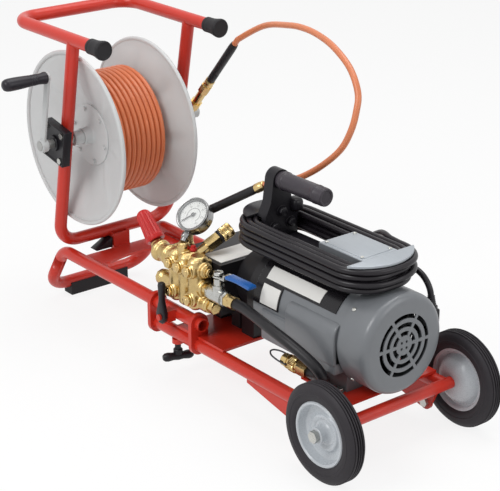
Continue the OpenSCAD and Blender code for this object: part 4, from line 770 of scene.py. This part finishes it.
# %% Gauge glass
GLASS = [(0, -2), (29.6, -2.4), (29.6, -1.6), (18, -1), (0, -0.8)]
gauge_glass = bpy.data.materials.new("gauge_glass")
gauge_glass.use_nodes = True
clear = gauge_glass.node_tree.nodes["Principled BSDF"]
clear.inputs["Base Color"].default_value = (0.95, 0.97, 0.97, 1)
clear.inputs["Roughness"].default_value = 0.04
clear.inputs["Alpha"].default_value = 0.14
put("gauge_lens", moved(turned(GLASS, 64, False), GAUGE), gauge_glass, "cart")

# %% [markdown]
# The valve lever is a steel strap that cranks up from the stem, with a blue vinyl sleeve on its end.
# The sleeve is a rounded block. Cuts along its length let it be pinched and arched like a dipped one.

# %% Valve lever
STEM = Matrix.Translation(Vector((581, -113, 241.7)) * MM) @ HERE
LEVER_FROM, LEVER_TO, LONG, PINCH, ARCH = 30, 98, 20, 0.14, 1.4
strap = gathered(rod(11, 0, 3, 0.5, 36), block((0, -8, 0), (25, 8, 3), 0.8),
                 block((22, -8, 0), (25.4, 8, 12), 0.8), block((22, -8, 9.6), (60, 8, 12), 0.8),
                 hex_bar(10, 4, 9.4))
put("lever_strap", moved(strap, STEM), nickel_plate, "ball_valve", ())
sleeve = block((LEVER_FROM, -10, 6.6), (LEVER_TO, 10, 13), 2.4, 4)
long_edges = [e for e in sleeve.edges if abs(e.verts[0].co.x - e.verts[1].co.x) > LONG]
bmesh.ops.subdivide_edges(sleeve, edges=long_edges, cuts=8, use_grid_fill=True)
for dot in sleeve.verts:
    far = (dot.co.x - LEVER_FROM) / (LEVER_TO - LEVER_FROM)
    dot.co.y *= 1 - PINCH * math.sin(math.pi * min(1, far * 1.2)) ** 2
    dot.co.z += ARCH * math.sin(math.pi * far * 0.9)
put("lever_sleeve", moved(sleeve, STEM), blue_vinyl, "ball_valve", ["valve_lever"], 50)

# %% [markdown]
# The spare outlet is a quick coupler: a knurled collar slides on it, with a black band behind. A bump
# in the finish could stand for the knurl, but its teeth show in the outline, so every second row of
# points is drawn in.


# %% Coupler collar and band
COUPLER = spot((503, -100, 258.7), (0.15332, 0.86954, 0.46947))
COLLAR = [(9.2, 55), (13, 55), (13.8, 56), (13.8, 62), (13, 63), (13, 65), (13.8, 66), (13.8, 76),
          (13, 77.4), (11, 77.8), (9.2, 77.8)]
BAND = [(9.1, 49), (12.6, 49), (13, 49.6), (13, 53.4), (12.6, 54), (9.1, 54)]
KNURL_STEP, KNURL_CUT = 5, 0.95


def knurled(profile, beyond):
    shape = turned(profile, 360 // KNURL_STEP)
    for dot in shape.verts:
        tooth = round(math.degrees(math.atan2(dot.co.y, dot.co.x)) / KNURL_STEP) % 2
        if math.hypot(dot.co.x, dot.co.y) > beyond and tooth:
            dot.co.x, dot.co.y = dot.co.x * KNURL_CUT, dot.co.y * KNURL_CUT
    return shape


put("coupler_collar", moved(knurled(COLLAR, 12), COUPLER), turned_brass, "cart", ())
put("coupler_band", moved(turned(BAND, 56), COUPLER), black_rubber, "cart", ())

# %% [markdown]
# The bail on the inlet coupling is a bent wire. It stands clear of the socket's mouth. A curve with a
# round section gives it, as it gives the hoses.

# %% Coupling bail
BAIL_D, BAIL_STEPS = 3.2, 5
SOCKET = [(12.1, 30), (14, 30), (14.8, 31), (14.8, 44), (14, 45), (12.1, 45)]
bail = smooth_route([(746, -91.6, 122), (740, -92, 122), (722, -92.4, 123), (704, -90, 124.6),
                     (694, -84, 125.8), (691, -78, 126), (694, -72, 125.8), (704, -66, 124.6),
                     (722, -63.6, 123), (740, -64, 122), (746, -64.4, 122)], BAIL_STEPS)
tube_line("coupling_bail", bail, BAIL_D, dark_wire, "cart", 3)
put("coupling_knurl", moved(knurled(SOCKET, 13), spot(TAIL_P, (-1, 0, 0))), turned_brass, "cart", ())

# %% [markdown]
# The clamp at the frame eye: a waisted black lever outside, and a wing bar on the screw below. The
# lever is an outline that is extruded and rounded, and the wing bar comes off the lathe.


# %% Clamp lever
WAIST = [(-4, -13), (5, -13), (9, -8), (12.6, 0), (13, 8), (10, 20), (6.6, 32), (6.2, 42), (8, 54),
         (9, 62), (7, 68.6), (1, 70.4), (-5, 68.6), (-7, 62), (-6, 54), (-4.6, 42), (-5, 32), (-8.6, 20),
         (-12.4, 8), (-12.4, 0), (-9, -8)]
EYE_X, LEVER_Y, LEVER_Z, LEVER_T = 461, -149.4, 132, 10


def extruded(points, way):
    shape = bmesh.new()
    face = shape.faces.new([shape.verts.new(p) for p in points])
    grown = bmesh.ops.extrude_face_region(shape, geom=[face])["geom"]
    bmesh.ops.translate(shape, vec=way, verts=[v for v in grown if isinstance(v, bmesh.types.BMVert)])
    bmesh.ops.recalc_face_normals(shape, faces=shape.faces)
    return shape


lever = extruded([(x, LEVER_Y, LEVER_Z + z) for x, z in WAIST], (0, -LEVER_T, 0))
moved(lever, Matrix.Translation((EYE_X, 0, 0)))
rounded(lever, 2.4, 3, [e for e in lever.edges if abs(e.verts[0].co.y - e.verts[1].co.y) < 1])
put("clamp_lever_waisted", moved(lever, HERE), black_moulding, "tube_clamp", ["clamp_lever"],
    50)

# %% Clamp wing bar
SCREW_Y, WING_Z, WING_TURN = -119, 40.3, math.radians(72)
WINGS = [(0, -31), (5, -30), (8, -26), (8.8, -20), (7.4, -10), (8.6, 0), (7.4, 10), (8.8, 20), (8, 26),
         (5, 30), (0, 31)]
UNDER_EYE = Matrix.Translation((EYE_X, SCREW_Y, 0))
wings = moved(turned(WINGS, 40, False), Matrix.Translation((EYE_X, SCREW_Y, WING_Z))
              @ Matrix.Rotation(WING_TURN, 4, "Z") @ SIDEWAYS)
screw_bar = [wings, moved(rod(6, 40, 76.3, 0.5, 32), UNDER_EYE), moved(rod(9, 44, 56, 1.5, 32), UNDER_EYE)]
put("clamp_wing_bar", moved(gathered(*screw_bar), HERE), black_moulding, "clamp_screw", ["clamp_knob"])

# %% [markdown]
# The carry grip is a moulded tube with a collar at the bracket and an end band. The cord's strain
# relief is a tapered boot with rings, on the small block where the cord enters the fan cover.

# %% Carry grip
GRIP = [(0, 0), (15.4, 0), (16, 1), (16, 7), (17.4, 8), (17.8, 9), (17.8, 14), (17, 15), (16.4, 17),
        (16.6, 60), (16.8, 96), (17.4, 97), (17.4, 101), (16.8, 102), (17, 116), (16.2, 120.4),
        (14.4, 122), (11, 121.4), (10.4, 120.4), (0, 120.4)]
put("carry_grip_moulded", moved(turned(GRIP, 64, False), spot((621, 0, 412.7), (1, 0, 0))), carry_vinyl_painted_sheen,
    "cart", ["carry_grip"])

# %% Cord strain relief
BOOT = [(0, -22), (9, -22), (9, -12), (12, -11), (12, -5.5), (9.4, -5), (9.2, -1)]
RINGS, RING_STEP = 4, 3.4
for k in range(RINGS):
    ring, neck, h = 9.0 - 0.7 * k, 7.9 - 0.6 * k, RING_STEP * k
    BOOT += [(ring, 0.4 + h), (neck, 1.2 + h), (neck, 2.6 + h)]
BOOT += [(6.6, 13.6), (5.8, 14), (0, 14)]
boot = gathered(moved(turned(BOOT, 40, False), spot(GLAND, (0, 0, 1))),
                moved(block((908, 84, 214.7), (932, 98, 242), 3), HERE))
put("cord_boot", boot, black_moulding, "cart", ["cord_gland"])

# %% [markdown]
# Small hardware: screws in the switch box lid, in the fan cover and on the motor feet, and the black
# wedge beside the saddle post, which is painted shade for the shaded inside of the gusset there. Each
# head sits on the face that it holds.


# %% Screws
def screw(origin, way, r, h):
    head = turned([(0, 0), (r, 0), (r, h * 0.45), (r * 0.8, h * 0.9), (r * 0.35, h), (0, h)], 24, False)
    return moved(head, spot(origin, way))


screws = [screw((x, y, 351.4), (0, 0, 1), 3.4, 1.8) for x in (782, 871) for y in (-32, 32)]
MOTOR_Z, COVER_X, COVER_R = 206.7, 890, 91.4
for k in range(4):
    a = math.radians(90 * k + 45)
    place = (COVER_X, COVER_R * math.sin(a), MOTOR_Z + COVER_R * math.cos(a))
    screws.append(screw(place, (0, math.sin(a), math.cos(a)), 4, 2.4))
put("cover_screws", gathered(*screws), zinc_steel, "cart", ())
foot_bolts = [moved(part, spot((x, y, 106.7), (0, 0, 1))) for x in (816, 860) for y in (-66, 66)
              for part in (rod(8.5, 0, 1.6, 0.3, 28), hex_bar(6.4, 1.6, 7))]
put("foot_bolts", gathered(*foot_bolts), zinc_steel, "cart", ())

# %% Saddle wedge, painted shade
WEDGE_WIDE = 26
# The wedge is painted shade: a black sheet where the inside of the gusset beside the post lies in shade.
wedge = extruded([(76, -62, 125.7), (76, -22, 125.7), (76, -22, 147)], (WEDGE_WIDE, 0, 0))
put("saddle_painted_shade", moved(rounded(wedge, 1.2, 2), HERE), black_moulding, "cart", ())

# %% [markdown]
# Over the motor: a brushed lid on the switch box, two crescent lips that keep the wound cord in place,
# and black bolts and a stop on the carry bracket. A crescent is an arc of points closed by one face.


# %% Lips of the wound cord
LIP_Z, LIP_T, LIP_STEPS = 346, 5, 16


def crescent(x, way, half, out):
    r = (half * half + out * out) / (2 * out)
    reach = math.asin(half / r)
    turns = [reach * k / LIP_STEPS for k in range(-LIP_STEPS, LIP_STEPS + 1)]
    arc = [(x + way * (out - r + r * math.cos(a)), r * math.sin(a), LIP_Z) for a in turns]
    return moved(rounded(extruded(arc, (0, 0, LIP_T)), 1.4, 2), HERE)


put("cord_lip_front", crescent(882, 1, 77, 40), lid_plate, "cart", ["cord_lips"])
put("cord_lip_back", crescent(597, -1, 60, 50), black_moulding, "cart", ())

# %% Lid and bracket bolts
lid = gathered(block((772, -40, 347.4), (881, 40, 350.2), 1.2), block((778, -34, 349), (875, 34, 351.4), 1))
put("switch_box_lid", moved(lid, HERE), lid_plate, "cart", ())
BOLT_SPOTS = [(621, 0, 353.7), (621, 21, 328.7), (621, -17, 326.7)]
bolts = [moved(part, spot(place, (1, 0, 0))) for place in BOLT_SPOTS
         for part in (rod(11, 0, 2, 0.5, 32), hex_bar(9, 2, 9, 1.2))]
bolts.append(moved(block((605, 22, 347), (634, 45, 372), 8, 4), HERE))
put("bracket_bolts", gathered(*bolts), black_moulding, "cart", ())

# %% [markdown]
# The side cover of the motor is a sheet box with soft edges. Its shoulder is one long edge with a wide
# bevel, and the other edges get a small one.

# %% Motor side cover
shoulder = block((745, -95, 166.7), (874, -62, 244.7), 0)
high = [e for e in shoulder.edges if all(v.co.y < -90 and v.co.z > 240 for v in e.verts)]
rounded(shoulder, 24, 8, high)
rounded(shoulder, 3, 3, [e for e in shoulder.edges if e.calc_face_angle(0) > 0.5])
skirt = block((676, -92, 148.7), (874, -62, 206.7), 3.5)
put("motor_side_cover", moved(gathered(shoulder, skirt), HERE), motor_enamel, "cart", ["capacitor_cover"])

# %% [markdown]
# The stage: a pale floor, a soft key light from the crank side, a light from above, a fill, and an even
# sky. More light would bleach the paint, so the white behind the part comes from what the camera, a
# mirror or a glass sees of floor and sky, and the lamps stay plain.


# %% Floor
def seen_rays(nodes, wire):
    path = nodes.new("ShaderNodeLightPath")
    seen = path.outputs["Is Camera Ray"]
    for ray in ("Is Glossy Ray", "Is Transmission Ray"):
        either = nodes.new("ShaderNodeMath")
        either.operation = "MAXIMUM"
        wire(seen, either.inputs[0])
        wire(path.outputs[ray], either.inputs[1])
        seen = either.outputs[0]
    return seen


FLOOR_GLOW, FLOOR_HALF = 0.85, 9
floor_paint = finish("floor_paint", (0.90, 0.90, 0.90), 0.9, mottle=0.005, grain=0.0)
leaf, wire = floor_paint.node_tree.nodes, floor_paint.node_tree.links.new
glow, blend = leaf.new("ShaderNodeEmission"), leaf.new("ShaderNodeMixShader")
share = leaf.new("ShaderNodeMath")
share.operation, share.inputs[1].default_value = "MULTIPLY", FLOOR_GLOW
wire(seen_rays(leaf, wire), share.inputs[0])
wire(share.outputs[0], blend.inputs["Fac"])
wire(leaf["Principled BSDF"].outputs[0], blend.inputs[1])
wire(glow.outputs[0], blend.inputs[2])
wire(blend.outputs[0], leaf["Material Output"].inputs["Surface"])
floor_mesh = bmesh.new()
bmesh.ops.create_grid(floor_mesh, x_segments=1, y_segments=1, size=FLOOR_HALF)
floor = bpy.data.objects.new("floor", bpy.data.meshes.new("floor"))
floor_mesh.to_mesh(floor.data)
floor_mesh.free()
floor.data.materials.append(floor_paint)
bpy.context.scene.collection.objects.link(floor)
print("floor", 2 * FLOOR_HALF, "m wide")


# %% Lights and sky
def soft_light(name, place, aim, power, size):
    lamp = bpy.data.lights.new(name, "AREA")
    lamp.energy, lamp.size = power, size
    holder = bpy.data.objects.new(name, lamp)
    holder.location = place
    holder.rotation_mode = "QUATERNION"
    holder.rotation_quaternion = (Vector(aim) - Vector(place)).to_track_quat("-Z", "Y")
    bpy.context.scene.collection.objects.link(holder)


MIDDLE, SKY_LIGHT, SKY_SEEN = (0.5, 0, 0.25), 0.38, 1.0
soft_light("key", (0.6, -2.6, 2.5), MIDDLE, 52, 1.6)
soft_light("top", (0.4, 0.6, 3.2), MIDDLE, 48, 2.2)
soft_light("fill", (3.2, 0.9, 1.6), MIDDLE, 18, 1.6)
sky = bpy.data.worlds.new("sky")
sky.use_nodes = True
bpy.context.scene.world = sky
links, tree = sky.node_tree.links.new, sky.node_tree.nodes
level = tree.new("ShaderNodeMapRange")
level.inputs["To Min"].default_value = SKY_LIGHT
level.inputs["To Max"].default_value = SKY_SEEN
links(seen_rays(tree, links), level.inputs["Value"])
tree["Background"].inputs["Color"].default_value = (1, 1, 1, 1)
links(level.outputs["Result"], tree["Background"].inputs["Strength"])
bpy.context.scene.view_settings.view_transform = "Standard"
print("lights", len(bpy.data.lights))
